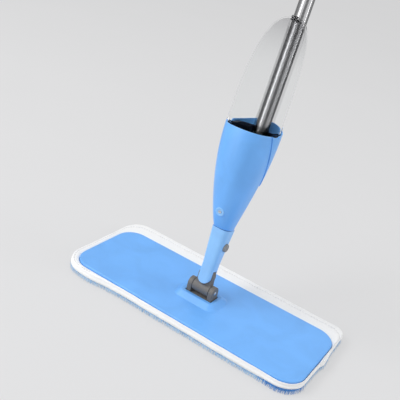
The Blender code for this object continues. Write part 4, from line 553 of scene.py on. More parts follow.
# Pivot bracket
# Grey nylon bracket with two round ears that carry the pitch pin. It stands in the boss's pocket and is held
# from below by four screws through the plate.
def inset_outline(outline, inset):
    """Counter-clockwise outline moved inwards: each point goes square to the mean way of its two edges."""
    before = outline - np.roll(outline, 1, axis=0)
    after = np.roll(outline, -1, axis=0) - outline
    before = before / np.linalg.norm(before, axis=1)[:, None]
    after = after / np.linalg.norm(after, axis=1)[:, None]
    way = (before + after) / np.linalg.norm(before + after, axis=1)[:, None]
    return outline + inset * np.stack([-way[:, 1], way[:, 0]], axis=1)


def rounded_prism(outline, axis, low, high, edge, steps=4):
    """Flat outline carried along an axis, both its rims rounded to quarter circles."""
    turn = np.linspace(0, math.pi / 2, steps + 1)
    insets, levels = edge * (1 - np.sin(turn)), edge * (1 - np.cos(turn))
    insets = np.concatenate([insets, insets[::-1]])
    levels = np.concatenate([low + levels, high - levels[::-1]])
    flat = np.stack([inset_outline(outline, inset) for inset in insets])
    level = np.broadcast_to(levels[:, None, None], (*flat.shape[:2], 1))
    order = {"X": (2, 0, 1), "Y": (0, 2, 1), "Z": (0, 1, 2)}[axis]
    return np.concatenate([flat, level], axis=-1)[..., order]


def arc(centre, radius, start, end, steps=32):
    """Points of a circular arc between two angles in degrees."""
    turn = np.radians(np.linspace(start, end, steps + 1))
    return np.array(centre) + radius * np.stack([np.cos(turn), np.sin(turn)], axis=1)


pivot = np.array(joints["head_pitch"]["pos_m"])
bracket_low, bracket_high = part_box("pivot_bracket")[0].z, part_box("pivot_bracket")[0].z + 4.2 * MM
ear_radius, ear_inner, ear_outer = 8.5 * MM, 13.3 * MM, 20.3 * MM
ear_foot = bracket_low + 2 * MM
ear_outline = np.concatenate([arc((0, pivot[2]), ear_radius, 0, 180),
                              np.array(((-ear_radius, ear_foot), (ear_radius, ear_foot)))])
base_outline = rounded_outline(*bracket_half, 1.2 * MM)
bracket_base = rounded_prism(base_outline, "Z", bracket_low, bracket_high, 0.7 * MM)
ears = [rounded_prism(ear_outline, "X", *sorted((side * ear_inner, side * ear_outer)), 0.9 * MM)
        for side in (-1, 1)]
plastic_grey = plastic_material("grey_nylon", (0.155, 0.147, 0.140), 0.5, grain=2.0)
add_piece("bracket", "head", plastic_grey, [shell(part) for part in (bracket_base, *ears)],
          ["pivot_bracket"])


# Pins and screws of the head
# Turned steel: the pitch pin is peened over at both ears, and four pan-head screws hold the bracket from
# below, inside the plate.
def steel_material(name, colour, roughness, streak_scale, streak_turn=(0, 0, 0)):
    """Brushed steel: long thin streaks in tone and gloss along the drawing direction."""
    material, tree, shader = new_material(name)
    drawn_ways = object_coordinates(tree, streak_scale, streak_turn)
    streaks = add_node(tree, "ShaderNodeTexNoise",
                       {"Vector": drawn_ways, "Scale": 1.0, "Detail": 5.0, "Roughness": 0.65})
    low = tuple(0.82 * part for part in colour)
    tone = two_tones(tree, streaks.outputs["Fac"], low, colour, 0.25, 0.7)
    tree.links.new(tone, shader.inputs["Base Color"])
    tree.links.new(between(tree, streaks.outputs["Fac"], roughness + 0.06, roughness - 0.05),
                   shader.inputs["Roughness"])
    bump(tree, shader, streaks.outputs["Fac"], 0.01 * MM, 0.4)
    shader.inputs["Metallic"].default_value = 1.0
    return material


def turned(profile, foot, way, sides=48):
    """Profile of (radius, distance along), in millimetres, turned about the line from foot along way."""
    way = np.array(way) / np.linalg.norm(way)
    helper = np.array((1.0, 0.0, 0.0)) if abs(way[0]) < 0.9 else np.array((0.0, 1.0, 0.0))
    side = np.cross(way, helper)
    side = side / np.linalg.norm(side)
    turn = np.linspace(0, math.tau, sides, endpoint=False)
    circle = np.cos(turn)[:, None] * side + np.sin(turn)[:, None] * np.cross(way, side)
    radius, along = np.array(profile).T * MM
    return np.array(foot) + along[:, None, None] * way + radius[:, None, None] * circle


across = np.array((1.0, 0.0, 0.0))
steel_bright = steel_material("bright_steel", (0.60, 0.60, 0.61), 0.24, (400, 400, 400))
pin_end = 20.9
pin_profile = ((0, -pin_end), (1.6, -pin_end + 0.05), (2.6, -pin_end + 0.35), (3.0, -pin_end + 0.9),
               (3.0, pin_end - 0.9), (2.6, pin_end - 0.35), (1.6, pin_end - 0.05), (0, pin_end))
add_piece("pitch_pin_turned", "head", steel_bright,
          [shell(turned(pin_profile, pivot, across), caps=False)], ["pitch_pin"])
dress(steel_bright, "bracket_screw_1", "bracket_screw_2", "bracket_screw_3", "bracket_screw_4")

# Joint yoke
# The cross piece of the universal joint, one grey nylon moulding: a barrel on the pitch pin between the ears
# and a flat tongue that the roll pin passes through.
up_handle = np.array(joints["bottle_lift"]["axis"])
handle_axes = np.stack([across, np.cross(up_handle, across), up_handle])


def on_handle(points):
    """Points given along the handle's own axes, in the mop's frame."""
    return pivot + points @ handle_axes


roll_rise = 18.5 * MM
barrel = rounded_prism(arc((0, 0), ear_radius, 0, 360, 56)[:-1], "X", -13 * MM, 13 * MM, 0.8 * MM)
tongue_foot = np.array(((-12.4, 4.2), (-12.4, 0), (12.4, 0), (12.4, 4.2))) * MM
tongue_outline = np.concatenate([arc((0, roll_rise), 11.5 * MM, -15, 195, 44), tongue_foot])
tongue = rounded_prism(tongue_outline, "Y", -4.6 * MM, 4.6 * MM, 0.9 * MM)
add_piece("yoke", "yoke", plastic_grey, [shell(on_handle(part)) for part in (barrel, tongue)],
          ["joint_yoke"])
roll_profile = ((0, -6.5), (2.7, -6.5), (3.0, -6.2), (3.0, 9.6), (2.6, 10.0), (1.6, 10.2), (0, 10.25))
roll_pin = turned(roll_profile, (0, 0, roll_rise), (0, 1, 0))
add_piece("roll_pin_turned", "handle", steel_bright, [shell(on_handle(roll_pin), caps=False)],
          ["roll_pin"])

# Neck
# Pale blue moulding between the joint and the tank housing: two lugs with round ends grip the yoke's tongue,
# and the socket above takes the housing's spigot, which the side button locks.
lug_half, lug_gap = 9.8 * MM, 4.9 * MM
neck_straight, neck_seam = 37 * MM, 89 * MM
neck_seam_half = np.array((13.0, 13.3)) * MM
neck_power = 4.0


def neck_halves(height):
    """Half width and half depth of the neck: constant in the lugs, then opening evenly to the seam."""
    share = np.clip((height - neck_straight) / (neck_seam - neck_straight), 0, None)
    half_x, half_y = neck_seam_half
    return lug_half + share * (half_x - lug_half), lug_half + share * (half_y - lug_half)


def neck_shells():
    """The neck as one skin, the lugs' edges and inner faces, and the arch between the lugs.

    A section is a fourth-power superellipse. Its skin starts at the lugs' round ends, a circle about the roll
    pin, or between the lugs at a wider arch about the same pin, and runs up to the seam.
    """
    lug_x = lug_half * (1 - (lug_gap / lug_half) ** neck_power) ** (1 / neck_power)
    x = lug_x * np.sin(np.linspace(-math.pi / 2, math.pi / 2, 25))
    y_face = lug_half * (1 - (np.abs(x) / lug_half) ** neck_power) ** (1 / neck_power)
    y_side = np.linspace(-lug_gap, lug_gap, 9)
    x_side = lug_half * (1 - (np.abs(y_side) / lug_half) ** neck_power) ** (1 / neck_power)
    low_lug = roll_rise - np.sqrt(lug_half ** 2 - x ** 2)
    arch_radius = 13.5 * MM
    arch = np.sqrt(arch_radius ** 2 - x ** 2) + roll_rise
    arch_side = np.sqrt(arch_radius ** 2 - x_side ** 2) + roll_rise
    share = np.linspace(0, 1, 30)[:, None]

    def skin(section_x, section_y, low):
        height = low + (neck_seam - low) * share
        half_x, half_y = neck_halves(height)
        return np.dstack([section_x / lug_half * half_x, section_y / lug_half * half_y, height])

    right, left = skin(x_side, y_side, arch_side), skin(-x_side, y_side, arch_side)[:, ::-1]
    front, rear = skin(x, -y_face, low_lug), skin(x, y_face, low_lug)[:, ::-1]
    skins = [shell(part, wrap=False, caps=False) for part in (front, right, rear, left)]
    blend = np.linspace(0, 1, 5)[:, None]
    for side in (-1, 1):
        flat = np.full_like(x, side * lug_gap)
        inner = np.dstack(np.broadcast_arrays(x, flat, arch + (low_lug - arch) * blend))
        rim = np.dstack(np.broadcast_arrays(x, flat + (side * y_face - flat) * blend, low_lug))
        skins += [shell(part, wrap=False, caps=False) for part in (inner, rim)]
    roof = np.dstack(np.broadcast_arrays(x, y_side[:, None], arch))
    top_ring = np.concatenate([part[-1, :-1] for part in (front, right, rear, left)])
    top = np.stack([top_ring, top_ring * (0.7, 0.7, 1.0), top_ring * (0.0, 0.0, 1.0)])
    skins += [shell(roof, wrap=False, caps=False), shell(top, caps=False)]
    return [(on_handle(points), faces) for points, faces in skins]


def round_off(made, width, segments=3, angle=40):
    """Rounds a piece's sharp edges."""
    modifier = made.modifiers.new("rounded_edges", "BEVEL")
    modifier.width = width
    modifier.segments = segments
    modifier.limit_method = "ANGLE"
    modifier.angle_limit = math.radians(angle)


plastic_pale = plastic_material("pale_blue_moulding", (0.27, 0.56, 0.97), 0.38)
neck = add_piece("neck_moulding", "handle", plastic_pale, neck_shells(), ["neck"])
round_off(neck, 0.7 * MM)

# Neck button
# Grey push button on the right of the neck, in a round hole through neck and spigot. A bent leaf of spring
# steel behind it pushes it out.
button_height = 64.5 * MM
button_face = neck_halves(button_height)[0] / MM + 3.0
button_profile = ((0, button_face - 10), (5.8, button_face - 10), (5.8, button_face - 1.2),
                  (5.5, button_face - 0.5), (4.9, button_face - 0.1), (4.4, button_face),
                  (4.0, button_face - 0.35), (0, button_face - 0.6))
button = turned(button_profile, (0, 0, button_height), across)
nylon_mid = plastic_material("mid_nylon", (0.25, 0.25, 0.25), 0.5, grain=2.0)
add_piece("button", "neck_button", nylon_mid, [shell(on_handle(button), caps=False)],
          ["neck_button"])
steel_spring = steel_material("spring_steel", (0.42, 0.42, 0.43), 0.3, (700, 700, 60))


def sprung(node):
    """The spring's own solid as one steel piece in place of the CAD node, left where it stands.
    """
    solid = nodes[node].data
    points = np.empty(3 * len(solid.vertices), dtype=np.float32)
    solid.vertices.foreach_get("co", points)
    points = points.reshape(-1, 3).astype(float)
    faces = [list(face.vertices) for face in solid.polygons]
    spring = add_piece(node + "_sprung", None, steel_spring, [(points, faces)], [node])
    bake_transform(spring)


sprung("neck_button_spring")

# Tank housing, front shell
# Blue moulded cup that grows out of the neck on egg-shaped sections; its inner side is painted dark navy as
# shade. A spigot at its foot sits in the neck's socket, and its rim slopes a little to the front.
housing_low, housing_rim = neck_seam + 0.3 * MM, 227 * MM
rim_slope, rim_middle = math.tan(math.radians(3)), -14 * MM
egg_power = 2 / 2.3
cover_point, cover_low = (9 * MM, 157 * MM), (4 * MM, 163 * MM)
cover_high = (-27 * MM, housing_rim)


def swell(height, power):
    """Growth of the housing from the seam, 0, to the rim, 1: a quarter sine raised to a power."""
    share = np.clip((height - neck_seam) / (housing_rim - neck_seam), 0, 1)
    return np.sin(math.pi / 2 * share) ** power


def housing_sizes(height):
    """Half width, front, back and widest line of the housing's section at a height."""
    slow, fast = swell(height, 1.02), swell(height, 0.74)
    half, front, back = 13 + 20.8 * slow, 13.2 + 39.1 * fast, 13.5 + 11 * slow
    return half * MM, -front * MM, back * MM, -15.4 * MM * fast


def egg(sizes, turn, grow=0.0):
    """Superellipse of power 2.3 on each side of its widest line; turn 0 is right, a quarter turn is back."""
    half, front, back, widest = sizes
    c, s = np.cos(turn), np.sin(turn)
    reach = np.where(s < 0, widest - front, back - widest) + grow
    x = (half + grow) * np.sign(c) * np.abs(c) ** egg_power
    return x, widest + reach * np.sign(s) * np.abs(s) ** egg_power


def egg_turn(sizes, y):
    """Turn on the right side at which the section passes a line of constant y."""
    _, front, back, widest = sizes
    reach = np.where(y < widest, widest - front, back - widest)
    share = (y - widest) / reach
    return np.arcsin(np.clip(np.sign(share) * np.abs(share) ** (1 / egg_power), -1, 1))


def split_line(height):
    """Y of the line that parts front shell and rear cover, seen from the side."""
    places = np.array((cover_point, cover_low, cover_high))
    return np.interp(height, places[:, 1], places[:, 0])


def housing_grid(share, turn):
    """Grid of the housing's skin: rows from foot to rim, columns at the given turns, the top row sloped."""
    height = housing_low + (housing_rim - housing_low) * share
    x, y = egg(housing_sizes(height), turn)
    top = np.clip((height - housing_low) / (housing_rim - housing_low), 0, 1) ** 12
    return np.dstack([x, y, height + top * rim_slope * (y - rim_middle)])


def front_shell_grids():
    """Front of the shell up to the rim, and its back up to the rear cover; they share split columns."""
    rows = np.linspace(0, 1, 61)[:, None]
    height = housing_low + (housing_rim - housing_low) * rows
    edge = egg_turn(housing_sizes(height), split_line(height))
    point = egg_turn(housing_sizes(np.array(cover_point[1])), cover_point[0])
    edge = np.where(height < cover_point[1], point, edge)
    round_front = np.linspace(0, 1, 81)[None]
    front_turn = math.pi - edge + round_front * (math.pi + 2 * edge)
    front = housing_grid(rows, front_turn)
    low_rows = rows[height[:, 0] <= cover_point[1] + 1e-6]
    last_row = (cover_point[1] - housing_low) / (housing_rim - housing_low)
    low_rows = np.concatenate([low_rows, [[last_row]]])
    round_back = np.linspace(0, 1, 41)[None]
    back_turn = point + round_back * (math.pi - 2 * point)
    back = housing_grid(low_rows, back_turn)
    return [on_handle(front), on_handle(back)]


def thicken(made, wall, inside):
    """Gives a sheet its wall, inwards, with another material on the inner side."""
    made.data.materials.append(inside)
    modifier = made.modifiers.new("wall", "SOLIDIFY")
    modifier.thickness = wall
    modifier.offset = -1.0
    modifier.use_even_offset = True
    modifier.material_offset = 1


# Dark navy: painted shade on the inner sides of the front shell and the rear cover, and also the colour given
# to the works inside the cup.
navy_and_painted_shade = plastic_material("navy_moulding_and_painted_shade", (0.012, 0.020, 0.045), 0.42)
shell_wall = 2.5 * MM
front_shell = add_piece("front_shell", "handle", plastic_blue,
                        [shell(grid, wrap=False, caps=False) for grid in front_shell_grids()],
                        ["housing_front"])
# The shell's inner side takes the dark navy as painted shade.
thicken(front_shell, shell_wall, navy_and_painted_shade)
round_off(front_shell, 0.5 * MM, 2)


# Tank housing, rear cover
# Blue cover that closes the back of the cup and is held by two screws near its foot. It stands proud of the
# front shell by a small step, and its crown arches up behind the pole as a thin lip that laps the bottle.
cover_proud, cover_wall, lip_wall = 1.2 * MM, 3.7 * MM, 1.1 * MM
crown_top, crown_foot, crown_foot_half = 239 * MM, 228 * MM, 36 * MM
lip_foot_y, lip_ledge = -14 * MM, 0.6 * MM


def crown_height(x, y):
    """Top of the cover: a circular arch across the back, which runs out on a slope at the lip's two ends."""
    sag = crown_top - crown_foot
    radius = (crown_foot_half ** 2 + sag ** 2) / (2 * sag)
    arch = crown_top - radius + np.sqrt(radius ** 2 - x ** 2)
    rim = housing_rim + rim_slope * (cover_high[0] - rim_middle)
    return np.minimum(arch, rim + np.maximum(y - lip_foot_y, 0))


def lip_height(x, y):
    """Foot of the lip: the rim, or a little below the crown where the lip runs out."""
    return np.minimum(housing_rim, crown_height(x, y) - 1.6 * MM)


def cover_grid():
    """Columns round the back of the cover, even in turn, from its foot on the split line up to its crown.

    The rows are even up to the lip, step over its ledge, and are even again to the crown. The foot is found
    by halving the height range 50 times. The left half mirrors the right one.
    """
    sizes = housing_sizes(np.array(housing_rim))
    turn = np.linspace(math.pi / 2, egg_turn(sizes, cover_high[0]), 64)
    low, high = np.full_like(turn, cover_point[1]), np.full_like(turn, housing_rim)
    for _ in range(50):
        middle = (low + high) / 2
        ahead = egg(housing_sizes(middle), turn)[1] < split_line(middle)
        low, high = np.where(ahead, middle, low), np.where(ahead, high, middle)
    at_point = egg(housing_sizes(np.array(cover_point[1])), turn)[1]
    foot = np.where(at_point > cover_point[0], cover_point[1], low)
    outer = egg(sizes, turn, cover_proud)
    crown = np.maximum(crown_height(*outer), foot + 0.1 * MM)
    lip = np.clip(lip_height(*outer), foot + 0.02 * MM, crown - 0.04 * MM)
    ledge = np.minimum(lip + lip_ledge, (lip + crown) / 2)
    height = np.concatenate([foot + (lip - foot) * np.linspace(0, 1, 36)[:, None],
                             ledge + (crown - ledge) * np.linspace(0, 1, 12)[:, None]])
    x, y = egg(housing_sizes(height), turn[None], cover_proud)
    right = np.dstack([x, y, height])
    return np.concatenate([(right * (-1, 1, 1))[:, :0:-1], right], axis=1)


rear_cover = add_piece("rear_cover", "handle", plastic_blue,
                       [shell(on_handle(cover_grid()), wrap=False, caps=False)], ["housing_rear"])
# The cover's inner side takes the dark navy as painted shade; the lip is given back its blue below.
thicken(rear_cover, cover_wall, navy_and_painted_shade)
lip_sides = 2
for _ in range(lip_sides):
    rear_cover.data.materials.append(plastic_blue)


def above_lip(points):
    """How far points of the cover stand above the lip's foot."""
    x, y, height = ((points - pivot) @ handle_axes.T).T
    return height - lip_height(x, y)


is_lip = above_lip(np.array([point.co for point in rear_cover.data.vertices])) > 0.1 * MM
is_lip_face = above_lip(np.array([face.center for face in rear_cover.data.polygons])) > lip_ledge
rear_cover.data.polygons.foreach_set("material_index", (2 * is_lip_face).astype(np.int32))
wall_share = rear_cover.vertex_groups.new(name="wall_share")
wall_share.add(np.flatnonzero(~is_lip).tolist(), 1.0, "REPLACE")
wall_share.add(np.flatnonzero(is_lip).tolist(), lip_wall / cover_wall, "REPLACE")
rear_cover.modifiers["wall"].vertex_group = wall_share.name
round_off(rear_cover, 0.4 * MM, 2)
dress(steel_bright, "housing_screw_1", "housing_screw_2")

# Spray nozzle
# Pale blue flanged body in a pocket of the front shell, tilted down, with a light grey insert that holds the
# orifice. A rubber valve closes it from behind.
nozzle_height, nozzle_tilt = 114 * MM, math.radians(20)
nozzle_foot = np.array((0, housing_sizes(np.array(nozzle_height))[1], nozzle_height))
nozzle_way = (0, -math.cos(nozzle_tilt), -math.sin(nozzle_tilt))
nozzle_profile = ((0, -1.6), (6.3, -1.6), (6.3, 0.2), (6.15, 0.5), (5.8, 0.7), (4.3, 0.7), (3.4, 0.2),
                  (2.7, 0.15), (2.65, -0.6), (0, -0.6))
insert_profile = ((0, -0.5), (2.3, -0.5), (2.3, 0.45), (2.1, 0.65), (1.5, 0.7), (0.75, 0.3), (0.6, 0.0),
                  (0, -0.1))
add_piece("nozzle", "handle", plastic_pale,
          [shell(on_handle(turned(nozzle_profile, nozzle_foot, nozzle_way)), caps=False)], ["nozzle_body"])
nylon_light = plastic_material("light_nylon", (0.50, 0.55, 0.60), 0.45)
add_piece("nozzle_orifice", "handle", nylon_light,
          [shell(on_handle(turned(insert_profile, nozzle_foot, nozzle_way, 32)), caps=False)],
          ["nozzle_insert"])


# Works inside the housing
# Navy floor of the cup with the valve post, the pump and its head, the grey piston and its spring, two vinyl
# hoses pushed on barbs, and rubber valves and seals. The navy pieces take the same material that paints shade
# on the shells' inner sides. They are out of sight behind the shells.
def soft_material(name, colour, roughness, transmission=0.0):
    """Rubber or vinyl: a dull skin with fine mottling and bloom."""
    material, tree, shader = new_material(name)
    place = object_coordinates(tree)
    bloom = add_node(tree, "ShaderNodeTexNoise", {"Vector": place, "Scale": 140.0, "Detail": 5.0})
    low = tuple(0.8 * part for part in colour)
    tone = two_tones(tree, bloom.outputs["Fac"], low, colour, 0.3, 0.7)
    tree.links.new(tone, shader.inputs["Base Color"])
    dullness = between(tree, bloom.outputs["Fac"], roughness - 0.1, roughness + 0.1)
    tree.links.new(dullness, shader.inputs["Roughness"])
    bump(tree, shader, bloom.outputs["Fac"], 0.05 * MM, 0.4)
    shader.inputs["Transmission Weight"].default_value = transmission
    return material


rubber_dark = soft_material("dark_rubber", (0.030, 0.031, 0.033), 0.6)
vinyl_clear = soft_material("hose_vinyl", (0.80, 0.86, 0.88), 0.3, transmission=0.6)
# The works inside take the same dark navy that is painted as shade on the shells' inner sides.
dress(navy_and_painted_shade, "bottle_seat", "pump_body", "pump_head", "bottle_cap", "pole_joiner")
dress(plastic_grey, "pump_piston")
dress(vinyl_clear, "inlet_hose", "outlet_hose")
dress(rubber_dark, "seat_seal", "cap_seal", "cap_valve", "inlet_valve", "outlet_valve")
sprung("pump_spring")

# Bottle
# Clear polyester bottle that stands mouth down in the cup and wraps the pole in a channel at its back.
# Above the rim it domes over to a short spout with a grey rubber vent plug.
bottle_low, bottle_top, bottle_wall = 170 * MM, 369.3 * MM, 1.6 * MM
cup_gap, flush_gap = 3.5 * MM, 0.6 * MM
shoulder_low, shoulder_high = housing_rim + 0.9 * MM, housing_rim + 3.4 * MM
pole_y, channel_radius = 10 * MM, 10.8 * MM
apex_y = 0.8 * MM


def bottle_sizes(height):
    """Half width, front, back and widest line of the bottle.

    It follows the cup, steps out over the rim to the housing's own line, bulges on a half sine and closes on
    a superellipse of power 2.8; the back closes on the steeper root of one less the power 6.1.
    """
    share = np.clip((height - housing_rim) / (bottle_top - housing_rim), 0, 1)
    dome = (1 - share ** 2.8) ** (1 / 2.8)
    steep = np.sqrt(1 - share ** 6.1)
    gap = cup_gap + (flush_gap - cup_gap) * rise((height - shoulder_low) / (shoulder_high - shoulder_low))
    half, front, back, widest = housing_sizes(height)
    front = front + gap - 4 * MM * np.sin(math.pi * share ** 0.7)
    back = np.minimum(20.6 * MM, back - gap)
    return ((half - gap) * dome, apex_y + (front - apex_y) * dome, apex_y + (back - apex_y) * steep,
            apex_y + (widest - apex_y) * dome)


def bottle_loops(height):
    """Closed section at each height: the egg, open at the back, and the channel that it wraps round the pole.

    It runs from one lip of the channel round the front to the other, then along the channel's wall and its
    half circle. The lip is found by halving a range of turns 40 times, and the corners are rounded by
    averaging neighbours.
    """
    sizes = [size[:, None] for size in bottle_sizes(height)]
    low, high = np.full((len(height), 1), -math.pi / 2), np.full((len(height), 1), math.pi / 2)
    for _ in range(40):
        middle = (low + high) / 2
        x, y = egg(sizes, middle)
        clear = np.hypot(x, np.minimum(y - pole_y, 0)) > channel_radius
        low, high = np.where(clear, middle, low), np.where(clear, high, middle)
    lip = low
    outer_x, outer_y = egg(sizes, lip - np.linspace(0, 1, 121)[None] * (math.pi + 2 * lip))
    lip_y = egg(sizes, lip)[1]
    wall = np.maximum(lip_y - pole_y, 0)
    start = np.arcsin(np.clip((np.minimum(lip_y, pole_y) - pole_y) / channel_radius, -1, 0))
    way = np.linspace(0, 1, 29)[None] * (wall + channel_radius * (start + math.pi / 2))
    bend = start - np.maximum(way - wall, 0) / channel_radius
    side_x = channel_radius * np.cos(bend)
    side_y = np.where(way < wall, lip_y - way, pole_y + channel_radius * np.sin(bend))
    inner_x = np.concatenate([-side_x[:, 1:], side_x[:, -2:0:-1]], axis=1)
    inner_y = np.concatenate([side_y[:, 1:], side_y[:, -2:0:-1]], axis=1)
    outer, inner = np.stack([outer_x, outer_y], axis=-1), np.stack([inner_x, inner_y], axis=-1)
    loop = np.concatenate([outer, inner], axis=1)
    for _ in range(3):
        loop = loop / 2 + (np.roll(loop, 1, axis=1) + np.roll(loop, -1, axis=1)) / 4
    return loop


def bottle_shell():
    """Rows of loops: a rounded foot, the part in the cup, the shoulder over the rim, and the dome.

    Rows near the rim slope with it, and rows close up towards the top of the dome.
    """
    foot_radius = 3 * MM
    round_foot = np.linspace(0, math.pi / 2, 6)[:-1]
    foot = bottle_low + foot_radius * (1 - np.cos(round_foot))
    in_cup = np.linspace(bottle_low + foot_radius, shoulder_low, 16)[:-1]
    shoulder = np.linspace(shoulder_low, shoulder_high, 8)[:-1]
    dome = shoulder_high + (bottle_top - 0.1 * MM - shoulder_high) * np.sin(np.linspace(0, math.pi / 2, 48))
    height = np.concatenate([foot, in_cup, shoulder, dome])
    loops = bottle_loops(height)
    middle = np.array((0, -20 * MM))
    shrink = np.ones(len(height))
    shrink[:len(foot)] = 1 - 0.1 * (1 - np.sin(round_foot))
    loops = middle + (loops - middle) * shrink[:, None, None]
    slope = rim_slope * np.clip(1 - np.abs(height - housing_rim) / (40 * MM), 0, 1)
    rising = height[:, None] + slope[:, None] * (loops[..., 1] - rim_middle)
    return shell(on_handle(np.concatenate([loops, rising[..., None]], axis=-1)))


def clear_material(name, tint, painted_shade_tint):
    """Clear polyester: a sharp gloss, faint flow waves in the wall, and a grey tint that is painted shade.

    The painted shade grows with the square of the height above the handle's 300 mm, up to 365 mm, over the
    top of the dome, and it is full within the channel's wall, by the distance from the pole's line, which
    darkens the pole seen through the channel.
    """
    material, tree, shader = new_material(name)
    place = object_coordinates(tree)
    waves = add_node(tree, "ShaderNodeTexNoise", {"Vector": place, "Scale": 26.0, "Detail": 2.0})
    upward = up_handle.tolist()
    up_ways = add_node(tree, "ShaderNodeVectorMath", {0: place, 1: upward}, operation="DOT_PRODUCT")
    foot = float(pivot @ up_handle)
    grey_start, grey_end = foot + 300 * MM, foot + 365 * MM
    share = add_node(tree, "ShaderNodeMapRange",
                     {"Value": up_ways.outputs["Value"], "From Min": grey_start, "From Max": grey_end})
    squared = add_node(tree, "ShaderNodeMath", {0: share.outputs["Result"], 1: 2.0}, operation="POWER")
    pole_point = on_handle(np.array((0, pole_y, 0))).tolist()
    off_pole = add_node(tree, "ShaderNodeVectorMath", {0: place, 1: pole_point}, operation="SUBTRACT")
    sideways = add_node(tree, "ShaderNodeVectorMath", {0: off_pole.outputs["Vector"], 1: upward},
                        operation="CROSS_PRODUCT")
    reach = add_node(tree, "ShaderNodeVectorMath", {0: sideways.outputs["Vector"]}, operation="LENGTH")
    channel_edge = channel_radius + bottle_wall
    channel = add_node(tree, "ShaderNodeMapRange",
                       {"Value": reach.outputs["Value"], "From Min": channel_edge + 1 * MM,
                        "From Max": channel_edge})
    # Painted shade: the greater of the dome's grey and the channel's grey.
    painted_shade = add_node(tree, "ShaderNodeMath", {0: squared.outputs["Value"], 1: channel.outputs["Result"]},
                     operation="MAXIMUM")
    ripple = between(tree, waves.outputs["Fac"], -0.03, 0.03)
    uneven = add_node(tree, "ShaderNodeMath", {0: painted_shade.outputs["Value"], 1: ripple})
    tone = two_tones(tree, uneven.outputs["Value"], tint, painted_shade_tint)
    tree.links.new(tone, shader.inputs["Base Color"])
    bump(tree, shader, waves.outputs["Fac"], 0.15 * MM, 0.3)
    shader.inputs["Roughness"].default_value = 0.0
    shader.inputs["Transmission Weight"].default_value = 1.0
    shader.inputs["IOR"].default_value = 1.025
    return material


# The second tone is the grey painted as shade over the dome's top and round the pole's channel.
plastic_clear = clear_material("clear_polyester", (0.98, 0.985, 0.985), (0.82, 0.82, 0.825))
bottle = add_piece("bottle_body", "bottle", plastic_clear, [bottle_shell()], ["bottle"])
bottle_skin = bottle.modifiers.new("wall", "SOLIDIFY")
bottle_skin.thickness = bottle_wall
bottle_skin.offset = -1.0
mouth_y, vent_y = -17 * MM, -7.5 * MM
mouth_profile = ((10.5, 170.2), (10.5, 155.3), (10.8, 155), (13.2, 155), (13.5, 155.3), (13.5, 170.2),
                 (10.5, 170.2))
mouth = turned(mouth_profile, (0, mouth_y, 0), (0, 0, 1), 64)
spout_profile = ((3.9, 364.0), (4.8, 364.0), (4.8, 369.1), (4.6, 369.6), (4.2, 369.7), (3.9, 369.4),
                 (3.9, 364.0))
spout = turned(spout_profile, (0, vent_y, 0), (0, 0, 1), 40)
add_piece("bottle_mouth", "bottle", plastic_clear,
          [shell(on_handle(part), caps=False) for part in (mouth, spout)])
vent_profile = ((0, 364.7), (3.6, 364.7), (3.6, 369.7), (4.3, 369.8), (4.4, 370.1), (4.0, 370.4), (0, 370.5))
rubber_grey = plastic_material("grey_rubber", (0.15, 0.15, 0.155), 0.6)
add_piece("vent_plug", "bottle", rubber_grey,
          [shell(on_handle(turned(vent_profile, (0, vent_y, 0), (0, 0, 1))), caps=False)], ["bottle_vent"])

# Pole
# Two brushed stainless tubes that meet at an inner joiner and are locked by a sprung snap button at the back.
# The lower one stands on the pump head, and the push rod runs inside both.
pole_radius = 9.5
lean = math.atan2(up_handle[1], up_handle[2])
steel_pole = steel_material("brushed_tube", (0.55, 0.55, 0.56), 0.2, (1500, 1500, 5), (lean, 0, 0))
pole_foot = np.array((0, pole_y, 0))
tube_spans = (("tube_lower", "pole_lower", 173.6, 560.0), ("tube_upper", "pole_upper", 560.3, 985.0))
for tube_name, tube_node, tube_low, tube_high in tube_spans:
    tube_profile = ((0, tube_low), (pole_radius - 0.4, tube_low), (pole_radius, tube_low + 0.4),
                    (pole_radius, tube_high - 0.4), (pole_radius - 0.4, tube_high), (0, tube_high))
    add_piece(tube_name, "handle", steel_pole,
              [shell(on_handle(turned(tube_profile, pole_foot, (0, 0, 1), 96)), caps=False)], [tube_node])
snap_profile = ((0, 5), (3.2, 5), (3.2, 9.8), (2.9, 10.4), (2.2, 10.7), (0, 10.8))
snap_foot = np.array((0, pole_y, 590 * MM))
add_piece("snap_button", "pole_button", steel_bright,
          [shell(on_handle(turned(snap_profile, snap_foot, (0, 1, 0))), caps=False)], ["pole_button"])
sprung("pole_button_spring")
dress(steel_bright, "push_rod")

# Trigger
# Grey nylon finger lever in a slot of the grip. It turns on a steel pin, and its arm pushes the rod down the
# pole.
trigger_pivot = np.array((-14, 1003)) * MM
trigger_points = np.concatenate([
    arc((24, 0), 4, -60, 90, 10),
    np.array(((4, 4.5), (-5, 9), (-11, 27), (-16, 57), (-18, 87), (-19.5, 98), (-24, 99), (-26.5, 96),
              (-26.5, 87), (-24, 57), (-19, 27), (-13, 3), (-6, -4.5), (0, -6.5), (6, -5)))]) * MM


def cut_corners(outline, rounds=3):
    """Closed outline with its corners cut at a quarter and three quarters of each edge, some rounds over."""
    for _ in range(rounds):
        ahead = np.roll(outline, -1, axis=0)
        first, second = 0.75 * outline + 0.25 * ahead, 0.25 * outline + 0.75 * ahead
        outline = np.stack([first, second], axis=1).reshape(-1, 2)
    return outline


trigger_outline, trigger_half = trigger_pivot + cut_corners(trigger_points), 6.2 * MM
trigger_body = rounded_prism(trigger_outline, "X", -trigger_half, trigger_half, 1.8 * MM)
add_piece("finger_lever", "trigger", plastic_grey, [shell(on_handle(trigger_body))],
          ["trigger"])


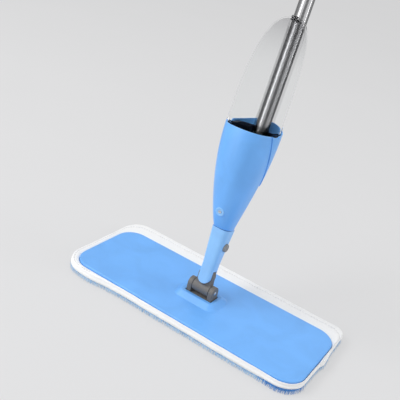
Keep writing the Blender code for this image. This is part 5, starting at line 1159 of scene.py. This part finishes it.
# Grip
# Two blue halves closed round the pole's end by three screws from the right. The front swells into a knuckle
# with the trigger's slot.
def finished_copy(node, body, material, edge):
    """Copy of a CAD node with its points joined, smooth faces and rounded edges."""
    source = nodes[node]
    mesh = source.data.copy()
    mesh.transform(source.matrix_world)
    welded = bmesh.new()
    welded.from_mesh(mesh)
    bmesh.ops.remove_doubles(welded, verts=welded.verts, dist=0.005 * MM)
    bmesh.ops.recalc_face_normals(welded, faces=welded.faces)
    bmesh.ops.dissolve_limit(welded, angle_limit=math.radians(0.5), verts=welded.verts, edges=welded.edges)
    welded.to_mesh(mesh)
    welded.free()
    mesh.shade_smooth()
    mesh.set_sharp_from_angle(angle=math.radians(35))
    mesh.materials.clear()
    mesh.materials.append(material)
    made = bpy.data.objects.new(f"{node}_finished", mesh)
    bpy.context.scene.collection.objects.link(made)
    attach(made, body)
    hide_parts(node)
    round_off(made, edge, 2, 50)


for half_grip in ("grip_left", "grip_right"):
    finished_copy(half_grip, "handle", plastic_blue, 0.4 * MM)
dress(steel_bright, "grip_screw_1", "grip_screw_2", "grip_screw_3", "trigger_pin")

# Hang cap
# Grey nylon end cap, moulded in one with its hanging eye. A spigot at its foot is held between the two
# halves of the grip.
finished_copy("hang_cap", "handle", plastic_grey, 1.0 * MM)

# Studio
# Plain pale floor, an even dome of light, a large soft box to the left, a smaller one to the right, and a
# broad strip and three dark cards that draw the bands on the pole. The camera sees plain white past the
# floor.
floor_mesh = bpy.data.meshes.new("floor")
floor_mesh.from_pydata([(-8, -8, 0), (8, -8, 0), (8, 8, 0), (-8, 8, 0)], [], [(0, 1, 2, 3)])
floor = bpy.data.objects.new("floor", floor_mesh)
bpy.context.scene.collection.objects.link(floor)
floor_material, floor_tree, floor_shader = new_material("floor")
floor_place = object_coordinates(floor_tree)
floor_grain = add_node(floor_tree, "ShaderNodeTexNoise", {"Vector": floor_place, "Scale": 3.0})
floor_tone = two_tones(floor_tree, floor_grain.outputs["Fac"], (0.66, 0.66, 0.67), (0.70, 0.70, 0.71))
floor_tree.links.new(floor_tone, floor_shader.inputs["Base Color"])


def seen_directly(tree):
    """1 for a ray from the camera, a reflection or a clear piece, 0 for light that falls on the object."""
    rays = tree.nodes.new("ShaderNodeLightPath")
    seen = rays.outputs["Is Camera Ray"]
    for kind in ("Is Glossy Ray", "Is Transmission Ray"):
        either = add_node(tree, "ShaderNodeMath", {0: seen, 1: rays.outputs[kind]}, operation="MAXIMUM")
        seen = either.outputs["Value"]
    return seen


pale = add_node(floor_tree, "ShaderNodeEmission", {"Color": (0.80, 0.80, 0.805, 1.0)})
pale_share = between(floor_tree, seen_directly(floor_tree), 0.0, 0.6)
paled = add_node(floor_tree, "ShaderNodeMixShader",
                 {"Fac": pale_share, 1: floor_shader.outputs["BSDF"], 2: pale.outputs["Emission"]})
floor_tree.links.new(paled.outputs["Shader"], floor_tree.nodes["Material Output"].inputs["Surface"])
floor_shader.inputs["Roughness"].default_value = 1.0
floor_shader.inputs["Specular IOR Level"].default_value = 0.0
floor_mesh.materials.append(floor_material)


def soft_box(name, place, aim, width, height, power):
    """Area lamp at a place, turned to face a point."""
    lamp = bpy.data.lights.new(name, "AREA")
    lamp.shape = "RECTANGLE"
    lamp.size, lamp.size_y = width, height
    lamp.energy = power
    made = bpy.data.objects.new(name, lamp)
    made.location = place
    made.rotation_euler = (Vector(aim) - Vector(place)).to_track_quat("-Z", "Y").to_euler()
    made.visible_camera = False
    bpy.context.scene.collection.objects.link(made)
    return made


lamps = [soft_box("soft_box_left", (-1.6, -1.3, 2.2), (0, 0.1, 0.2), 1.6, 1.2, 34),
         soft_box("soft_box_right", (1.9, 0.7, 0.8), (0, 0.1, 0.4), 0.7, 1.4, 11),
         soft_box("strip_left", (-0.7, -1.35, 0.8), (0, 0.1, 0.4), 0.6, 1.6, 6)]


def dark_card(name, start, end, top):
    """Dark card that only reflections in the mop see: a sector of a bowl round it that rises outwards.

    The two bearings are in degrees from the front towards the right. The sharp gloss of the clear bottle
    looks through the card, and a reflection that shines out through the bottle does not.
    """
    near, far, foot, middle_y = 0.55, 2.4, 0.004, 0.1
    out_of_bottle = 2.5
    bearing = np.radians(np.linspace(start, end, 33))[None]
    reach, height = np.array((near, far))[:, None], np.array((foot, top))[:, None]
    x, y = reach * np.sin(bearing), middle_y - reach * np.cos(bearing)
    points = np.dstack(np.broadcast_arrays(x, y, height))
    mesh = bpy.data.meshes.new(name)
    mesh.from_pydata(points.reshape(-1, 3).tolist(), [], shell(points, wrap=False, caps=False)[1])
    made = bpy.data.objects.new(name, mesh)
    material, tree, shader = new_material(name)
    shader.inputs["Base Color"].default_value = (0.30, 0.30, 0.30, 1.0)
    shader.inputs["Roughness"].default_value = 1.0
    rays = tree.nodes.new("ShaderNodeLightPath")
    dull = add_node(tree, "ShaderNodeMath", {0: 1.0, 1: rays.outputs["Is Singular Ray"]},
                    operation="SUBTRACT")
    deep = add_node(tree, "ShaderNodeMath", {0: rays.outputs["Transmission Depth"], 1: out_of_bottle},
                    operation="GREATER_THAN")
    steel = add_node(tree, "ShaderNodeMath", {0: dull.outputs["Value"], 1: deep.outputs["Value"]},
                     operation="MAXIMUM")
    reflected = add_node(tree, "ShaderNodeMath", {0: rays.outputs["Glossy Depth"], 1: 0.5},
                         operation="GREATER_THAN")
    seen = add_node(tree, "ShaderNodeMath", {0: steel.outputs["Value"], 1: reflected.outputs["Value"]},
                    operation="MULTIPLY")
    clear = tree.nodes.new("ShaderNodeBsdfTransparent")
    shown = add_node(tree, "ShaderNodeMixShader", {"Fac": seen.outputs["Value"], 1: clear.outputs["BSDF"],
                                                   2: shader.outputs["BSDF"]})
    tree.links.new(shown.outputs["Shader"], tree.nodes["Material Output"].inputs["Surface"])
    mesh.materials.append(material)
    made.visible_camera = False
    made.visible_diffuse = False
    made.visible_shadow = False
    bpy.context.scene.collection.objects.link(made)
    return made


cards = [dark_card("card_left", -151, -51, 1.3), dark_card("card_front", 16, 57, 2.2),
         dark_card("card_right", 103, 169, 1.3)]
world = bpy.data.worlds.new("studio")
world.use_nodes = True
bpy.context.scene.world = world
sky = world.node_tree.nodes["Background"]
sky_strength = between(world.node_tree, seen_directly(world.node_tree), 0.6, 1.0)
world.node_tree.links.new(sky_strength, sky.inputs["Strength"])
sky.inputs["Color"].default_value = (1.0, 1.0, 1.0, 1.0)
bpy.context.scene.view_settings.view_transform = "Standard"
